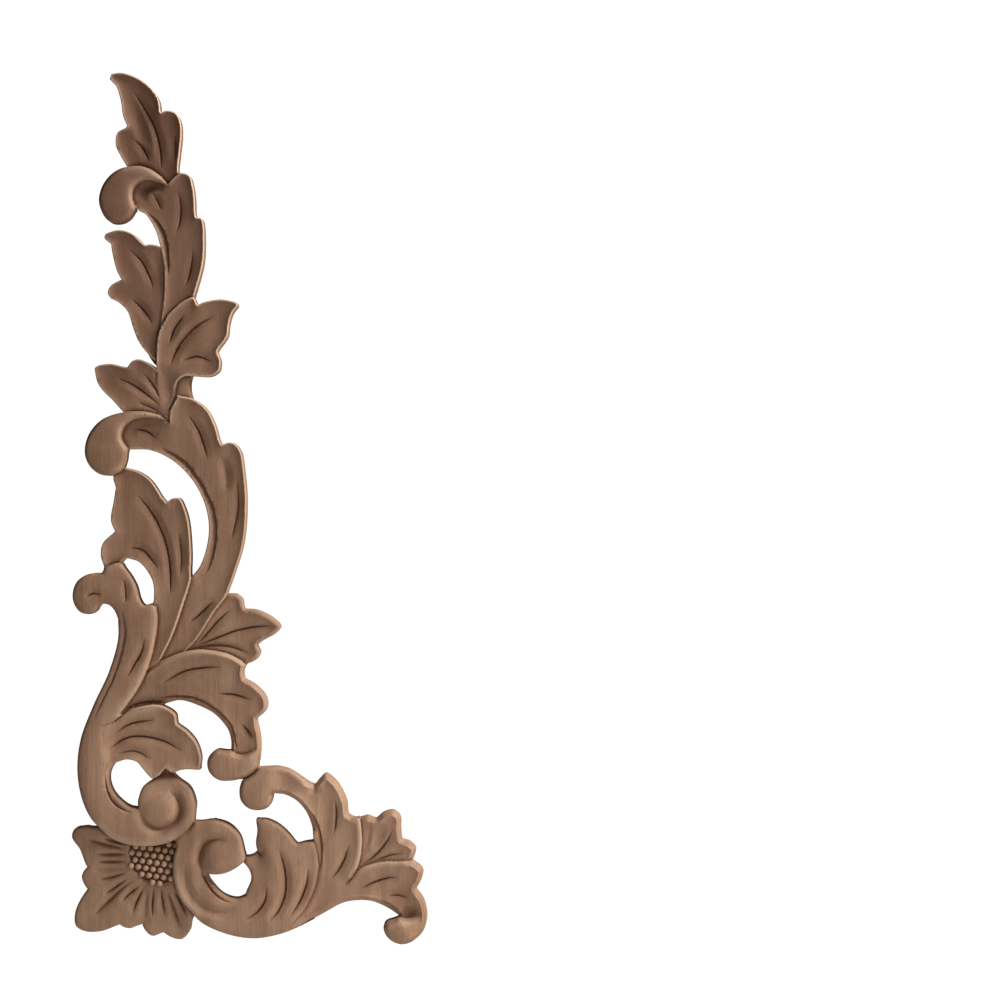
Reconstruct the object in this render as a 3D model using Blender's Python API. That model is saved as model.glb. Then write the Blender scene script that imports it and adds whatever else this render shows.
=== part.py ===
"""Carved corner applique: acanthus scrolls that climb one side and turn along the foot,
cut from one hardwood board with a flat back. Millimetres in the drawing, metres in the mesh.
X runs right, Z up and the carved face looks to -Y; the origin is on the flat back,
behind the seed head of the corner rosette."""

import math

import bpy
import numpy as np
from mathutils.geometry import delaunay_2d_cdt

MM = 0.001

# Heights of the carved layers above the flat back, millimetres
LOW = 5.4        # stems and leaves at the very back
ROSETTE = 6.2    # petals where they meet the seed head
LEAF = 7.0       # leaves in the middle layer
FORE = 8.0       # leaves and stems in front
CREST = 9.0      # crests of the curls and the volutes

# Tools and edges, millimetres
ROUND = 0.9      # width of the rounded edge of a leaf
DROP = 1.3       # how far that edge falls before the wall
VEE = 0.45       # half width of a V tool's cut
VEE_DEEP = 1.0
FOOT = 0.32      # run of the wall where a leaf stands over another
FOOT_CUT = 0.7   # depth of the shadow line cut along that wall

# Seeds of the corner rosette, millimetres
SEED = 0.98                             # radius of one seed
SEED_ROW = np.array([2.51, -0.38])      # step from seed to seed along a row
SEED_STEP = np.array([1.16, -2.47])     # step from row to row
FIRST_SEED = np.array([-0.25, 1.6])
HEAD_MIDDLE = np.array([0.5, 4.8])
HEAD_RADIUS = 9.6

# The drawing shows the piece from one point straight in front of (x, z). An outer edge turned to
# that point shows its wall too, and one turned away is drawn a little small, as it lies deeper
VIEW = np.array([118.0, 127.0])
WALL_SEEN = 0.007      # step in for each mm that the edge faces the point
EDGE_HIDDEN = 0.003    # step out for each mm that it faces away
STEP_MEAN = 3.0

# Sampling of the drawing, millimetres
CHORD = 0.085    # how far a chord may leave its curve
SHORTEST = 1.3
LONGEST = 4.2
CUT_STEP = 3.2
FILL = 3.3       # spacing of the points that fill the faces


def curve(points, chord, shortest, longest):
    """Points along a smooth curve through the given ones, closer where it bends more."""
    p = np.array(points, float)
    if len(p) > 2:
        ends = np.vstack([2 * p[0] - p[1], p, 2 * p[-1] - p[-2]])
        fine = []
        for i in range(len(p) - 1):
            a, b, c, d = ends[i : i + 4]
            knots = [max(float(np.hypot(*(v - u))), 1e-6) ** 0.5 for u, v in ((a, b), (b, c), (c, d))]
            slope_b = (b - a) / knots[0] - (c - a) / (knots[0] + knots[1]) + (c - b) / knots[1]
            slope_c = (c - b) / knots[1] - (d - b) / (knots[1] + knots[2]) + (d - c) / knots[2]
            t = np.linspace(0, 1, 24, endpoint=False)[:, None]
            m0, m1 = slope_b * knots[1], slope_c * knots[1]
            fine.append(
                (2 * t**3 - 3 * t**2 + 1) * b
                + (t**3 - 2 * t**2 + t) * m0
                + (3 * t**2 - 2 * t**3) * c
                + (t**3 - t**2) * m1
            )
        p = np.vstack(fine + [p[-1:]])
    step = np.diff(p, axis=0)
    length = np.maximum(np.hypot(step[:, 0], step[:, 1]), 1e-9)
    heading = np.unwrap(np.arctan2(step[:, 1], step[:, 0]))
    bend = np.zeros(len(length))
    if len(length) > 2:
        bend[1:-1] = np.abs(heading[2:] - heading[:-2]) / (length[1:-1] + 0.5 * (length[2:] + length[:-2]))
        bend[0], bend[-1] = bend[1], bend[-2]
    wanted = np.clip(np.sqrt(8 * chord / np.maximum(bend, 1e-4)), shortest, longest)
    effort = np.concatenate([[0], np.cumsum(length / wanted)])
    count = max(1, math.ceil(effort[-1] - 0.15))
    at = np.linspace(0, effort[-1], count + 1)
    return np.column_stack([np.interp(at, effort, p[:, k]) for k in (0, 1)])


def pairs(numbers):
    return [tuple(numbers[i : i + 2]) for i in range(0, len(numbers), 2)]


def leaf(
    name, outline, heights, cuts=(), rim=ROUND, drop=DROP, bulge=0.0, reach=4.0, fade=(), thin=()
):
    """One carved element. outline: strokes that meet at corners, each starting where the last
    one ended. heights: spots x, z, height. cuts: (kind, points) along the tool's path.
    bulge: how much the middle stands above the edge, reach mm from it, or how deep it is hollowed
    inside the rim if negative. fade: ways (x0, z0, x1, z1) along which the element grows out of
    its stem. thin: paths near which the rim is narrow."""
    strokes = [pairs(s) for s in outline]
    for i, stroke in enumerate(strokes):
        stroke.insert(0, strokes[i - 1][-1])
    return {
        "name": name,
        "strokes": strokes,
        "spots": np.array(heights, float).reshape(-1, 3),
        "cuts": [(kind, pairs(c)) for kind, *c in cuts],
        "rim": rim,
        "drop": drop,
        "bulge": bulge,
        "reach": reach,
        "fade": fade,
        "thin": [np.array(pairs(t)) for t in thin],
    }


# kind of cut: half width, depth, half width of its soft shoulders, their depth. A ledge, a crease or
# a step has its shoulder on the right of its path alone, where the wood lies lower
TOOLS = {
    "V": (VEE, VEE_DEEP, 2.6, 0.55),
    "v": (VEE * 0.9, VEE_DEEP * 0.7, 2.2, 0.35),
    "flute": (0.75, 0.85, 2.2, 0.45),
    "soft": (0.9, 0.25, 2.8, 0.7),
    "ledge": (0.5, 0.5, 3.2, 0.8),
    "crease": (0.5, 0.4, 2.6, 0.35),
    "step": (0.5, 0.7, 3.4, 1.1),
    "undercut": (1.7, 0.4, 2.8, 0.4),
    "spiral": (1.5, 1.2, 3.2, 0.8),
    "gouge": (0.0, 0.0, 3.6, 0.8),
    "cove": (0.0, 0.0, 3.0, 1.5),
}


def upper_scrolls():
    """The leaves of the climbing scroll, from the back to the front."""
    yield leaf(
        "upper stem",
        [
            [-3.2, 177.2, -1.2, 174, 0.4, 172.6],
            [-2, 166, -2, 158, 4, 152],
            [11, 155, 12.7, 161.2],
            [12, 165, 12.2, 169.6],
            [14, 178, 12, 188, 6, 192],
            [1, 190, -1, 183, -3.2, 177.2],
        ],
        [4, 156, LOW, 6, 190, LOW],
        bulge=0.6,
    )
    yield leaf(
        "tip leaf",
        [
            [-15.6, 273.2, -12, 273.7, -5.6, 271.4, -0.8, 267.2, 1.4, 263, 1.2, 260.6],
            [3.2, 260.8, 6.3, 260.1, 8.4, 257, 9, 252.5, 8.5, 246.5, 7.7, 239.8],
            [6, 234, 2, 229],
            [-4, 228, -9, 234, -10.4, 241.7],
            [-12.7, 245.6, -14.2, 249.3, -13.5, 253.2, -10.8, 254.8],
            [-10.2, 255.7],
            [-11.6, 259, -12.3, 264, -13.9, 269, -16.2, 271.9],
            [-15.6, 273.2],
        ],
        [2, 236, LOW, 2, 252, LOW + 0.6, -6, 266, LOW + 0.6, -13, 249, LOW, -15, 272, LOW + 1],
        [
            ("V", -8.4, 267.6, -4.8, 262, -1.9, 257, 0.6, 248.6, 1.1, 241),
            ("V", -8.6, 251, -5.5, 248.6, -3.1, 243.4),
            ("v", 5.6, 253, 6.1, 248, 5.8, 243.5),
            ("gouge", -9.5, 266, -7.5, 260, -5, 253, -3, 246),
        ],
        bulge=-1.0,
    )
    yield leaf(
        "left leaf",
        [
            [-17.5, 218.2, -13, 219.6, -8.3, 218.4, -4.2, 214.6],
            [-2.3, 214.7, 0.2, 214.3, 1.7, 213.2],
            [5, 205, 5, 196, 5, 188, 4, 178, 1.6, 173.6],
            [-1.3, 175.3],
            [-3.4, 177.5, -6.3, 181.6, -8.2, 186.5, -9.9, 191.5, -12.8, 194.5, -15.9, 196.3],
            [-16.8, 198, -15.7, 200.4, -12, 202.6],
            [-13.6, 205.6, -14.9, 210.5, -15.8, 215.1],
            [-17.2, 216.1, -18, 217.3, -17.5, 218.2],
        ],
        [1, 176, LEAF - 0.3, -2, 192, LEAF - 0.2, -5, 206, LEAF, -16, 217, LEAF - 0.3]
        + [-14, 198, LEAF - 0.4, 1, 206, LEAF - 0.7],
        [
            ("V", -10, 213.2, -5.5, 209, -2.6, 203, -1.5, 199),
            ("V", -9.3, 196.3, -4.6, 192, -1.8, 187.2),
        ],
        bulge=-0.7,
    )
    yield leaf(
        "second leaf",
        [
            [5.5, 237.9, 7.7, 239.5],
            [9.4, 239.3, 11.4, 238.3, 12.9, 234.5, 13.6, 229.5, 13.6, 224.5],
            [15.4, 223.9, 16.5, 221.3, 16.9, 215, 16.5, 208, 14.5, 200, 11.5, 191],
            [9, 180, 6, 162],
            [3, 158, 0.6, 166, 0.3, 176, 1.2, 188, 2.3, 198, 2.4, 206, 1.3, 213.6],
            [0.2, 218.2, -2, 222.6, -4.3, 225.4, -6.9, 226.8],
            [-10, 230, -10, 236, -4.5, 239.3, 1, 237.2, 3.4, 235.6],
        ],
        [4, 162, LOW, 6, 190, LEAF - 0.2, 8, 210, LEAF, 8, 230, LEAF - 0.5, 4, 238, LOW + 0.8],
        [
            ("ledge", -4.1, 226.2, 0.4, 222.2, 2.8, 217.1, 3.7, 211.2, 3.6, 204),
            ("v", 6.9, 233.4, 7.9, 228, 7.6, 223, 6.2, 218.4),
            ("v", -2.2, 232.8, -0.6, 230.8, 1.3, 226.5),
            ("v", 12.3, 213, 11.2, 205.5, 9.5, 200.5),
            ("cove", -6, 229.5, -5, 233.5, -1.5, 235.5, 2.5, 234.6),
        ],
        bulge=-0.8,
    )
    yield leaf(
        "lower left leaf",
        [
            [-20, 173, -16, 173.6, -10.2, 172.3],
            [-8.4, 174.4, -6.2, 175.1, -2.1, 173.6, 1, 171],
            [4, 166, 4, 156, 0, 150, -8, 150],
            [-11.6, 157.2],
            [-14.8, 160.8, -18.7, 164.7, -20.4, 167.5, -21.3, 172.1],
            [-20, 173],
        ],
        [3, 157, LEAF - 0.4, -6, 166, LEAF + 0.3, -19, 172, LEAF - 0.4],
        [
            ("V", -14.5, 169, -8, 166.2, -1.8, 161.5, 0.8, 159),
            ("V", -5, 170.5, -1.5, 166.3, 1, 161),
            ("v", -7, 160.4, -2, 158.5, 0.8, 156.8),
        ],
        bulge=-0.7,
        fade=((4.5, 165, -1.5, 163.5),),
    )
    yield leaf(
        "right leaf",
        [
            [3.7, 190.6, 8.3, 194.8, 11.9, 196.7],
            [13, 196.4, 14, 194],
            [17, 194.9, 22, 195.7, 27.4, 194.9],
            [28.2, 193.6, 26.4, 190.5, 25.4, 187, 24.8, 182.8, 21.3, 177.8],
            [22.4, 174.5, 21.9, 171, 19, 169.1, 12.5, 169.4, 9.7, 169.6, 7.4, 168.3, 6, 166, 5.4, 163]
            + [4.7, 159.2, 4, 155],
            [0.5, 160, -0.2, 172, 0.4, 184, 3.7, 190.6],
        ],
        [3, 160, LOW + 0.8, 4, 175, LEAF + 0.6, 12, 184, FORE, 25, 192, LEAF + 0.4, 20, 172, LEAF],
        [
            ("V", 9.3, 190.8, 5.5, 185, 4, 180.5),
            ("V", 19.8, 190.3, 14, 187, 8.5, 181.5, 5.2, 175.5, 4.6, 172.8),
            ("V", 19, 174.3, 13.5, 176.2, 8, 174.5),
        ],
        bulge=-0.8,
        fade=((-2, 162, 3.5, 174),),
    )
    yield leaf(
        "upper curl",
        [
            [3, 236.1, 0, 239.2, -5.3, 241.7, -10, 241.4, -15.1, 238.8, -18.6, 234.1, -19.5, 228.6]
            + [-16.3, 222.5, -11.8, 221.7, -8.4, 223.7, -7.2, 226.8],
            [-8.6, 231, -7.7, 234.7, -4.1, 236.9, 0.3, 236.4, 3.3, 235.3],
            [3, 236.1],
        ],
        [3, 236, LEAF, -5, 239.5, FORE, -14, 232, CREST - 0.6, -13.5, 228, CREST - 0.4],
        bulge=0.6,
        reach=5.5,
        rim=0.8,
        drop=0.9,
    )


def seeds(p):
    """Height of the rows of round seeds over the bed between them."""
    base = np.array([SEED_ROW, SEED_STEP]).T
    cell = np.floor(np.linalg.solve(base, (p - FIRST_SEED).T).T)
    nearest = np.full(len(p), 9.0)
    for i in (0, 1):
        for j in (0, 1):
            seed = (cell + (i, j)) @ base.T + FIRST_SEED
            nearest = np.minimum(nearest, np.hypot(*(p - seed).T))
    return np.sqrt(np.maximum(0, 1 - (nearest / SEED) ** 2))


def seed_points():
    """Tops of the seeds, and the hollows between them."""
    for i in range(-6, 7):
        for j in range(-6, 7):
            for third in (0, 1, 2):
                point = FIRST_SEED + SEED_ROW * i + SEED_STEP * j + (SEED_ROW + SEED_STEP) * third / 3
                if np.hypot(*(point - HEAD_MIDDLE)) < HEAD_RADIUS:
                    yield tuple(point)


def corner():
    """The corner rosette, the second scroll and the fan with its arch, from the back to the front."""
    yield leaf(
        "rosette",
        [
            [-24.4, 14.9, -28.4, 13.5, -29.3, 10.6, -26.5, 6.4, -25.2, 3, -24.1, 0],
            [-25.3, -1.3, -25.9, -3.2, -25.2, -5.3, -24, -7.5],
            [-26.2, -10.5, -28.3, -15.8, -27.9, -20, -24.7, -21.8, -19.1, -21.7, -13.1, -19.4],
            [-11.4, -20.3, -9.6, -20.7, -7.4, -20, -5.2, -19.2],
            [-3.9, -21.6, -1.8, -23.3, 2, -22.1],
            [5.2, -23.9, 8.2, -24.5, 11.2, -21.9, 12.1, -18.6, 12.9, -16.3],
            [16, -12, 13, 0],
            [10, 12, 0, 14, -12, 17],
            [-20.8, 14.6, -24.4, 14.9],
        ],
        [0.5, 4.8, ROSETTE + 0.3, -10, -4, ROSETTE - 0.2, -26, 12, LOW - 0.7, -26, -18, LOW - 0.8]
        + [8, -22, LOW - 0.5, -24, -3, LOW - 0.4, -1, -21, LOW - 0.4, -12, 4, LOW + 0.2, -2, -8, LOW + 0.2],
        [
            ("flute", -24.8, 9.9, -20.8, 8.6, -17, 7.6, -10.6, 6.4),
            ("flute", -19, 10.2, -16.2, 9.3, -10.6, 8),
            ("flute", -21.4, 4.6, -17, 4.5, -10.4, 4.7),
            ("flute", -21.4, 2, -17, 1.9, -10.2, 2.1),
            ("soft", -23, -0.6, -17.5, -0.7, -11.5, -0.2),
            ("flute", -20.8, -4.2, -17.2, -3.8, -10.6, -1.6),
            ("V", -18.6, -9.4, -15.6, -7.6, -10.4, -3.8),
            ("flute", -22.6, -17, -16.6, -11.4, -12.4, -7.4, -8.4, -4.4),
            ("V", -12.6, -12, -10.2, -9.6, -6.2, -6.2),
            ("V", -8.8, -16, -7.4, -12.3, -4.8, -6.8),
            ("soft", -4.6, -19, -4.2, -12, -3.2, -6.5),
            ("V", -1.9, -17.4, -1.9, -13.7, -1.4, -6.8),
            ("V", 2.4, -17, 1.9, -13, 1, -6.8),
            ("flute", 7.9, -21.4, 5.7, -15.2, 2.9, -7),
            ("V", 10.2, -17.4, 8.4, -13.4, 5.4, -7.6),
        ],
        bulge=0.4,
    )
    yield leaf(
        "seed head",
        [[10.8, 4.8], [9.4, -0.4, 5.6, -4.1, 0.5, -5.5, -4.6, -4.1, -8.4, -0.4], [-9.8, 4.8]]
        + [[-8, 11, 0.5, 15.1, 9, 11, 10.8, 4.8]],
        [0.5, 8.5, ROSETTE - 0.6, 0.5, 1, ROSETTE + 1, 0.5, -5, ROSETTE + 0.6, -9, 3, ROSETTE + 0.6],
        rim=0.4,
        drop=0.0,
    )
    yield leaf(
        "second scroll's stem and leaves",
        [
            [6.7, 8.2, 5.6, 3, 5.6, -3, 8, -10.5, 12.9, -16.3],
            [17.6, -19.6, 26, -22.8, 34, -23.8, 42, -22.5, 48, -20.3, 54, -17.4],
            [60, -10, 60, 0, 57, 8],
            [53.9, 9.7],
            [51, 9.6, 48.3, 8.9],
            [46.2, 11.8, 42, 15.6, 37.5, 17.4, 34, 16.9],
            [34.7, 13.5, 34.2, 9, 34.4, 5.9],
            [32.5, 4.8, 30.5, 4.3],
            [28.5, 4.5],
            [29.9, 2.2],
            [32, -0.5, 32.6, -3.5, 30, -9.2],
            [27, -9.7, 22.7, -8, 17.2, -1.8],
            [20.5, -1.9],
            [22, 8, 20, 17.2],
            [16, 16.7, 12.9, 16.2],
            [11.5, 16.3, 7.5, 13, 5.5, 10.5],
        ],
        [8, 4, FORE, 8, -6, FORE, 15, -14, FORE - 0.2, 28, -19, FORE - 0.4, 44, -19, LEAF + 0.4]
        + [34, -7, LEAF + 0.4, 33, 4, LEAF - 0.5, 40, -8, LEAF + 0.5, 40, 6, LEAF + 0.6]
        + [37, 15, LEAF, 49, -8, LEAF + 0.4, 51, 8, LEAF - 0.4],
        [
            ("V", 37.8, -6, 37, -11.5, 34.4, -15.2, 29.8, -18.1),
            ("V", 42, 6.5, 44, -1, 44.2, -8, 42.2, -14, 38.3, -18.8),
            ("V", 52, 0, 51.3, -6, 48.9, -12, 45.4, -17),
            ("V", 34.3, 5.9, 35.2, 4.8, 36.3, 4),
            ("step", 25.6, -12, 22.2, -10.8, 19.2, -8.4, 16.9, -4.9, 15.2, -1, 14.9, 3),
            ("soft", 9.6, 2, 9.9, -5, 12.6, -10.6, 17.2, -14.2, 22.6, -15.2, 27.5, -13.4),
        ],
        bulge=0.5,
    )
    yield leaf(
        "fan's right lobes",
        [
            [70, 17.6],
            [72.5, 18.5, 75.3, 17.4],
            [78, 19.5, 81.5, 20.3, 84, 18, 84.2, 13.5, 84.8, 10.1],
            [87.2, 9.5, 89.3, 6.8, 88, 2.6],
            [80, -5, 70, -6, 64, -4],
            [64, 6, 66, 15.5],
        ],
        [72, 12, LEAF - 1, 81, 15, LEAF - 0.2, 87, 7, LEAF - 0.4, 72, 0, LEAF - 1, 78, 5, LEAF - 0.6],
        [
            ("soft", 72.9, 15.3, 72.9, 10.6, 71.8, 6.8, 70.5, 3.6),
            ("V", 81.1, 13.4, 79.1, 9.2, 76.2, 5.4, 73, 2.5, 69.9, 0.1),
            ("v", 84.8, 4.9, 80.4, 4.3, 76.7, 2.9, 73.2, 1.6),
            ("gouge", 77, 15, 76, 10, 74, 5),
        ],
        rim=1.6,
        drop=1.8,
        bulge=-0.5,
    )
    yield leaf(
        "fan and arch",
        [
            [37.3, 34.7, 40.2, 35.4, 43, 35.2, 46, 34.3, 54, 29],
            [55.8, 30.8, 58.1, 32.9, 62, 30.3, 65.4, 24, 66.2, 18.8],
            [68, 17.9, 69.8, 17.8],
            [70.4, 9.8, 69.9, 3.8, 68.9, 0.2, 67.2, -2.8],
            [70.1, -0.3, 73.9, 1.2, 78.5, 2.1, 83.1, 2.1, 88, 2.6],
            [90.5, 1.4, 91.8, -1, 90.6, -4.8, 89.5, -7.2],
            [91.5, -9.4, 92.8, -13, 93, -17.5, 91.4, -21.9, 88.4, -24.8],
            [84, -24, 82, -20, 83.2, -16.4],
            [81.5, -14.9, 78, -12.8, 74, -11.2, 69, -10.9, 64, -11.8, 58, -15, 51, -18.8],
            [44, -21.6],
            [46.9, -18.7, 51, -14, 54.4, -6.5, 55.8, 0.5],
            [55.1, 5, 53.9, 9.8],
            [53.5, 14.3, 51.5, 19.5, 48, 23.6, 44, 25.6, 40.2, 25.9],
            [36, 24, 31.5, 25.5],
            [31.2, 29.5, 32.3, 32.3, 34.6, 34.5],
        ],
        [34, 28, FORE, 41, 31, FORE + 0.3, 48, 29.5, FORE + 0.3, 54, 24, LEAF + 0.6, 60, 8, LEAF]
        + [60, 28, LEAF + 0.3, 60, -8, LEAF + 0.3, 50, -18, LEAF + 0.4, 72, -4, LEAF + 0.3, 80, 0, LEAF + 0.4]
        + [90, -2, LEAF, 86, -15, LEAF - 0.6, 90, -12, LEAF, 91, -20, LEAF + 0.4],
        [
            ("ledge", 49.4, 22.9, 52.9, 19.2, 55.4, 14.5, 56.6, 8.5, 56.6, 2.6, 55.8, -1.4),
            ("V", 61, 24.1, 61.7, 19.4, 61.4, 14.8, 60.5, 10.8),
            ("V", 65.8, 8, 64.6, 3.4, 62.3, -0.9, 59.5, -4.1),
            ("V", 83.1, -3.2, 79.4, -3.5, 75.2, -4.8, 69.8, -7.3),
            ("v", 79.2, -9.9, 82.7, -9.5, 86.6, -10.5),
            ("ledge", 76.5, -11, 80.4, -12.6, 83.9, -15.3),
            ("gouge", 58.4, 26, 58.6, 18, 58.2, 9),
            ("soft", 54, 28.6, 54.4, 25),
            ("v", 68.8, -0.8, 66.9, -3.6, 64.2, -6.4),
            ("cove", 89.8, -14, 86.6, -15.7, 83, -16.4),
        ],
        rim=1.6,
        drop=1.8,
        bulge=-0.5,
        fade=((43, -23, 50, -17),),
        thin=(
            [69.8, 16, 70.4, 9.8, 69.9, 3.8, 68.9, 0.2, 67.2, -2.8, 70.1, -0.3, 73.9, 1.2, 83.1, 2.1],
            [46.9, -18.7, 51, -14, 54.4, -6.5, 55.8, 0.5, 55.1, 5, 53.9, 9.8],
            [34.6, 34.5, 40.2, 35.4, 46, 34.3, 50, 32.2],
        ),
    )
    yield leaf(
        "fan's roll",
        [
            [85.4, -17.4, 88, -17.1, 90.6, -15.9, 92.5, -15.2],
            [92.4, -18.2, 90.8, -21.8, 87.9, -24.9, 83.8, -25.8, 79.6, -23.6, 78, -19.8]
            + [79.2, -17.9, 81.1, -17.1, 83.2, -16.7],
        ],
        [84, -21.5, CREST - 0.3, 89, -20, FORE + 0.2, 92, -17, LEAF],
        bulge=0.9,
        reach=5,
        rim=1.5,
        drop=1.4,
        fade=((92.5, -16.5, 84.5, -19.5),),
    )
    yield leaf(
        "arch's ball",
        [
            [32.3, 33.6, 34.6, 34.6, 37.3, 35.2, 40.2, 35.3, 44, 34.2],
            [45, 30, 44, 26.2],
            [42, 26.2, 40.2, 25.9],
            [39.8, 23.2, 38.3, 21.1, 35, 20.2, 31.7, 20.9, 29.2, 23.4, 28.6, 27, 29.1, 29.7],
            [30.3, 31.8],
        ],
        [34, 26, CREST - 0.7, 40, 31, FORE + 0.3, 46, 30, FORE + 0.3],
        bulge=0.8,
        reach=5,
        rim=1.2,
        drop=1.2,
        fade=((44.8, 29, 37, 30.5),),
        thin=([36, 35, 38, 35.3, 40.2, 35.3, 44, 34.2],),
    )


def main_scrolls():
    """The broad leaf with its curl, and the leaves beside the main stem."""
    yield leaf(
        "right hand leaf",
        [
            [27.1, 94.8, 29.6, 93.1, 30.3, 89.6],
            [34.5, 89.1, 39.1, 87.1, 42.3, 84.6],
            [42.8, 83, 40.6, 80.6, 36.6, 78.3, 34.8, 76.6],
            [35.9, 74.6, 34.5, 72, 31, 70.2],
            [27, 66, 18, 66, 8, 68],
            [4, 72, 8, 80, 16, 90, 22, 94.4],
            [27.1, 94.8],
        ],
        [9, 74, LOW, 20, 80, LOW + 0.6, 38, 84, LOW + 0.8, 30, 73, LOW + 0.4, 27, 92, LOW + 0.3],
        [
            ("V", 25.4, 89.4, 20.6, 84.9, 16.6, 80.3, 12.6, 76),
            ("V", 39.8, 83.5, 33.5, 83, 26.8, 81.6, 20, 79, 12.5, 76),
            ("flute", 10.5, 74.8, 17, 76.4, 25, 76.2, 32, 73.4),
        ],
        rim=1.2,
        bulge=-0.7,
    )
    yield leaf(
        "broad leaf",
        [
            [4.3, 157.5, 6.9, 162.7],
            [12.5, 161.5, 17.4, 158.1, 20.5, 152.5, 22.3, 146],
            [26, 146.5, 29, 144.1, 30.6, 136, 31.3, 125, 30.3, 112.3, 27.8, 103.5, 24.2, 94.5]
            + [19.7, 88.5, 13, 78.3, 9.6, 74.6],
            [3, 67, -5, 68],
            [-3, 80, 3, 91, 8, 98, 11.8, 100.3],
            [14.8, 103.7, 17.5, 111.5, 18, 119, 15.9, 127.4, 11.3, 135, 5, 140.7, -2, 143.8, -10, 144.2],
            [-14, 147, -13, 153, -6, 156.3, 1, 155.2],
            [4, 153.6],
            [4.3, 157.5],
        ],
        [-8, 149, LEAF - 1, 8, 150, LEAF, 22, 138, FORE - 0.6, 25, 120, FORE - 0.6, 22, 100, LEAF]
        + [8, 76, LOW + 0.4],
        [
            ("ledge", 1, 144.8, 9, 140.3, 16, 131, 20, 120, 19.3, 108, 16.5, 101),
            ("V", -9.5, 151.3, -4, 150.5, -0.3, 147.7),
            ("V", 10.3, 156.3, 14.3, 150.2, 17.3, 140.5),
            ("v", 27.3, 134, 27.8, 124, 25.3, 112.5),
            ("V", 19.4, 92.3, 14.2, 87.1, 10.3, 84.2),
            ("soft", 21.9, 142.2, 23.5, 137, 24, 129),
            ("gouge", -9.5, 147.5, -8, 152, -3, 153.6, 2, 152.6),
        ],
        bulge=-0.8,
    )
    yield leaf(
        "inner leaf",
        [
            [-11, 137.9, -6.2, 136.7, -1.7, 133.7, 3.4, 126.1],
            [5.2, 127.2, 8, 127.4, 10.8, 122.2, 12.2, 112, 12, 101.7, 9, 91.3, 5, 79.9, 1.3, 72.4],
            [-3, 66],
            [-6, 72, -4, 84, -3.2, 90.8],
            [-1.3, 91.3, -0.7, 94.5, -1.2, 98.8, -3.3, 102.7, -6.4, 105.7, -10.8, 106.7],
            [-13.5, 103, -14, 98, -18, 100.5, -18, 104],
            [-19.1, 107.8, -18.4, 111.8, -14.2, 115.9],
            [-15.6, 119.8, -14.7, 126, -13.9, 131],
            [-15, 135.6, -13, 138.6],
            [-11, 137.9],
        ],
        [-1, 70, LEAF, 4, 95, FORE - 0.3, 3, 112, FORE - 0.3, -8, 130, LEAF, -15, 108, LEAF],
        [
            ("V", -7, 128.5, -2, 122.3, 2, 114.5, 4.2, 105, 4.5, 94),
            ("v", 7.3, 116, 8.3, 107, 7.8, 100.5),
            ("V", -10.5, 110.2, -5.3, 109.6, 0.3, 103),
        ],
        bulge=-0.7,
    )
    yield leaf(
        "big curl",
        [
            [0.6, 156.1, -5.4, 157.3, -12, 156.8, -18.9, 154.1, -23.2, 148.9, -24.4, 143, -22.9, 138.7]
            + [-19.6, 135.8, -15.8, 135.1, -11.8, 137.2, -9.9, 140.4, -9.9, 144],
            [-12.4, 148.3, -11, 152.4, -6.5, 155, -0.6, 155, 3.9, 153.7],
            [0.6, 156.1],
        ],
        [3, 154, LEAF, -8, 156, FORE, -17, 148, CREST - 0.4, -17, 142, CREST - 0.1],
        bulge=0.6,
        reach=6,
        rim=0.8,
        drop=0.9,
    )
    yield leaf(
        "long leaf",
        [
            [0.7, 71, 7.5, 73.9, 15.1, 75.1, 24.6, 73.5, 30.8, 70.1],
            [30.2, 67.5, 30.5, 65.5],
            [34.2, 63.4, 38, 59, 38, 55, 34.6, 51.3],
            [35.8, 46.5, 36, 40.5, 34.9, 34.6],
            [31, 31, 26, 31, 21, 33, 21, 38, 25.5, 40.8],
            [25.7, 43.5, 24.6, 47.8, 20, 53.2, 14, 56.3, 8, 57.9, 2.6, 56.6],
            [-4, 50, -17, 49],
            [-13, 58, -7, 66],
            [-4.4, 67.3],
            [0.7, 71],
        ],
        [-7, 60, LEAF - 1, 8, 66, LEAF + 0.4, 24, 66, FORE - 0.2, 32, 56, FORE - 0.1, 30, 44, LEAF + 0.4],
        [
            ("V", 1, 63.1, 9.6, 67.8, 17.6, 69.1, 22.2, 69.2),
            ("V", 20.3, 59.9, 26.5, 59.7, 32.6, 57.7),
            ("ledge", -0.6, 58.3, 5.3, 59.2, 13.3, 58.5, 20, 54.8, 25.2, 49.5, 27, 43, 27.3, 40),
            ("V", 28.9, 49.6, 31, 47.4, 32.8, 44.5),
            ("V", 5, 56.8, -2, 57.2, -8.6, 55.8, -12.7, 52.7),
        ],
        rim=1.1,
        drop=1.3,
        bulge=-0.7,
    )
    yield leaf(
        "long leaf's roll",
        [
            [27.2, 39.4, 29.6, 39, 32, 40, 34, 41.6, 36, 42.6],
            [35.8, 38.4, 34.9, 34.6],
            [33.2, 32.8, 31.2, 31.5, 29, 30.9],
            [26, 30.4, 21.5, 30.6, 18.2, 33.5, 17.7, 37.6, 20.5, 41, 25.5, 40.8],
            [27.2, 39.4],
        ],
        [23, 36, CREST - 0.4, 30, 36, CREST - 0.7, 34, 38, FORE],
        bulge=0.9,
        reach=5,
        rim=1.2,
        drop=1.3,
        fade=((36.5, 41, 31.5, 38.5),),
    )


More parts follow.
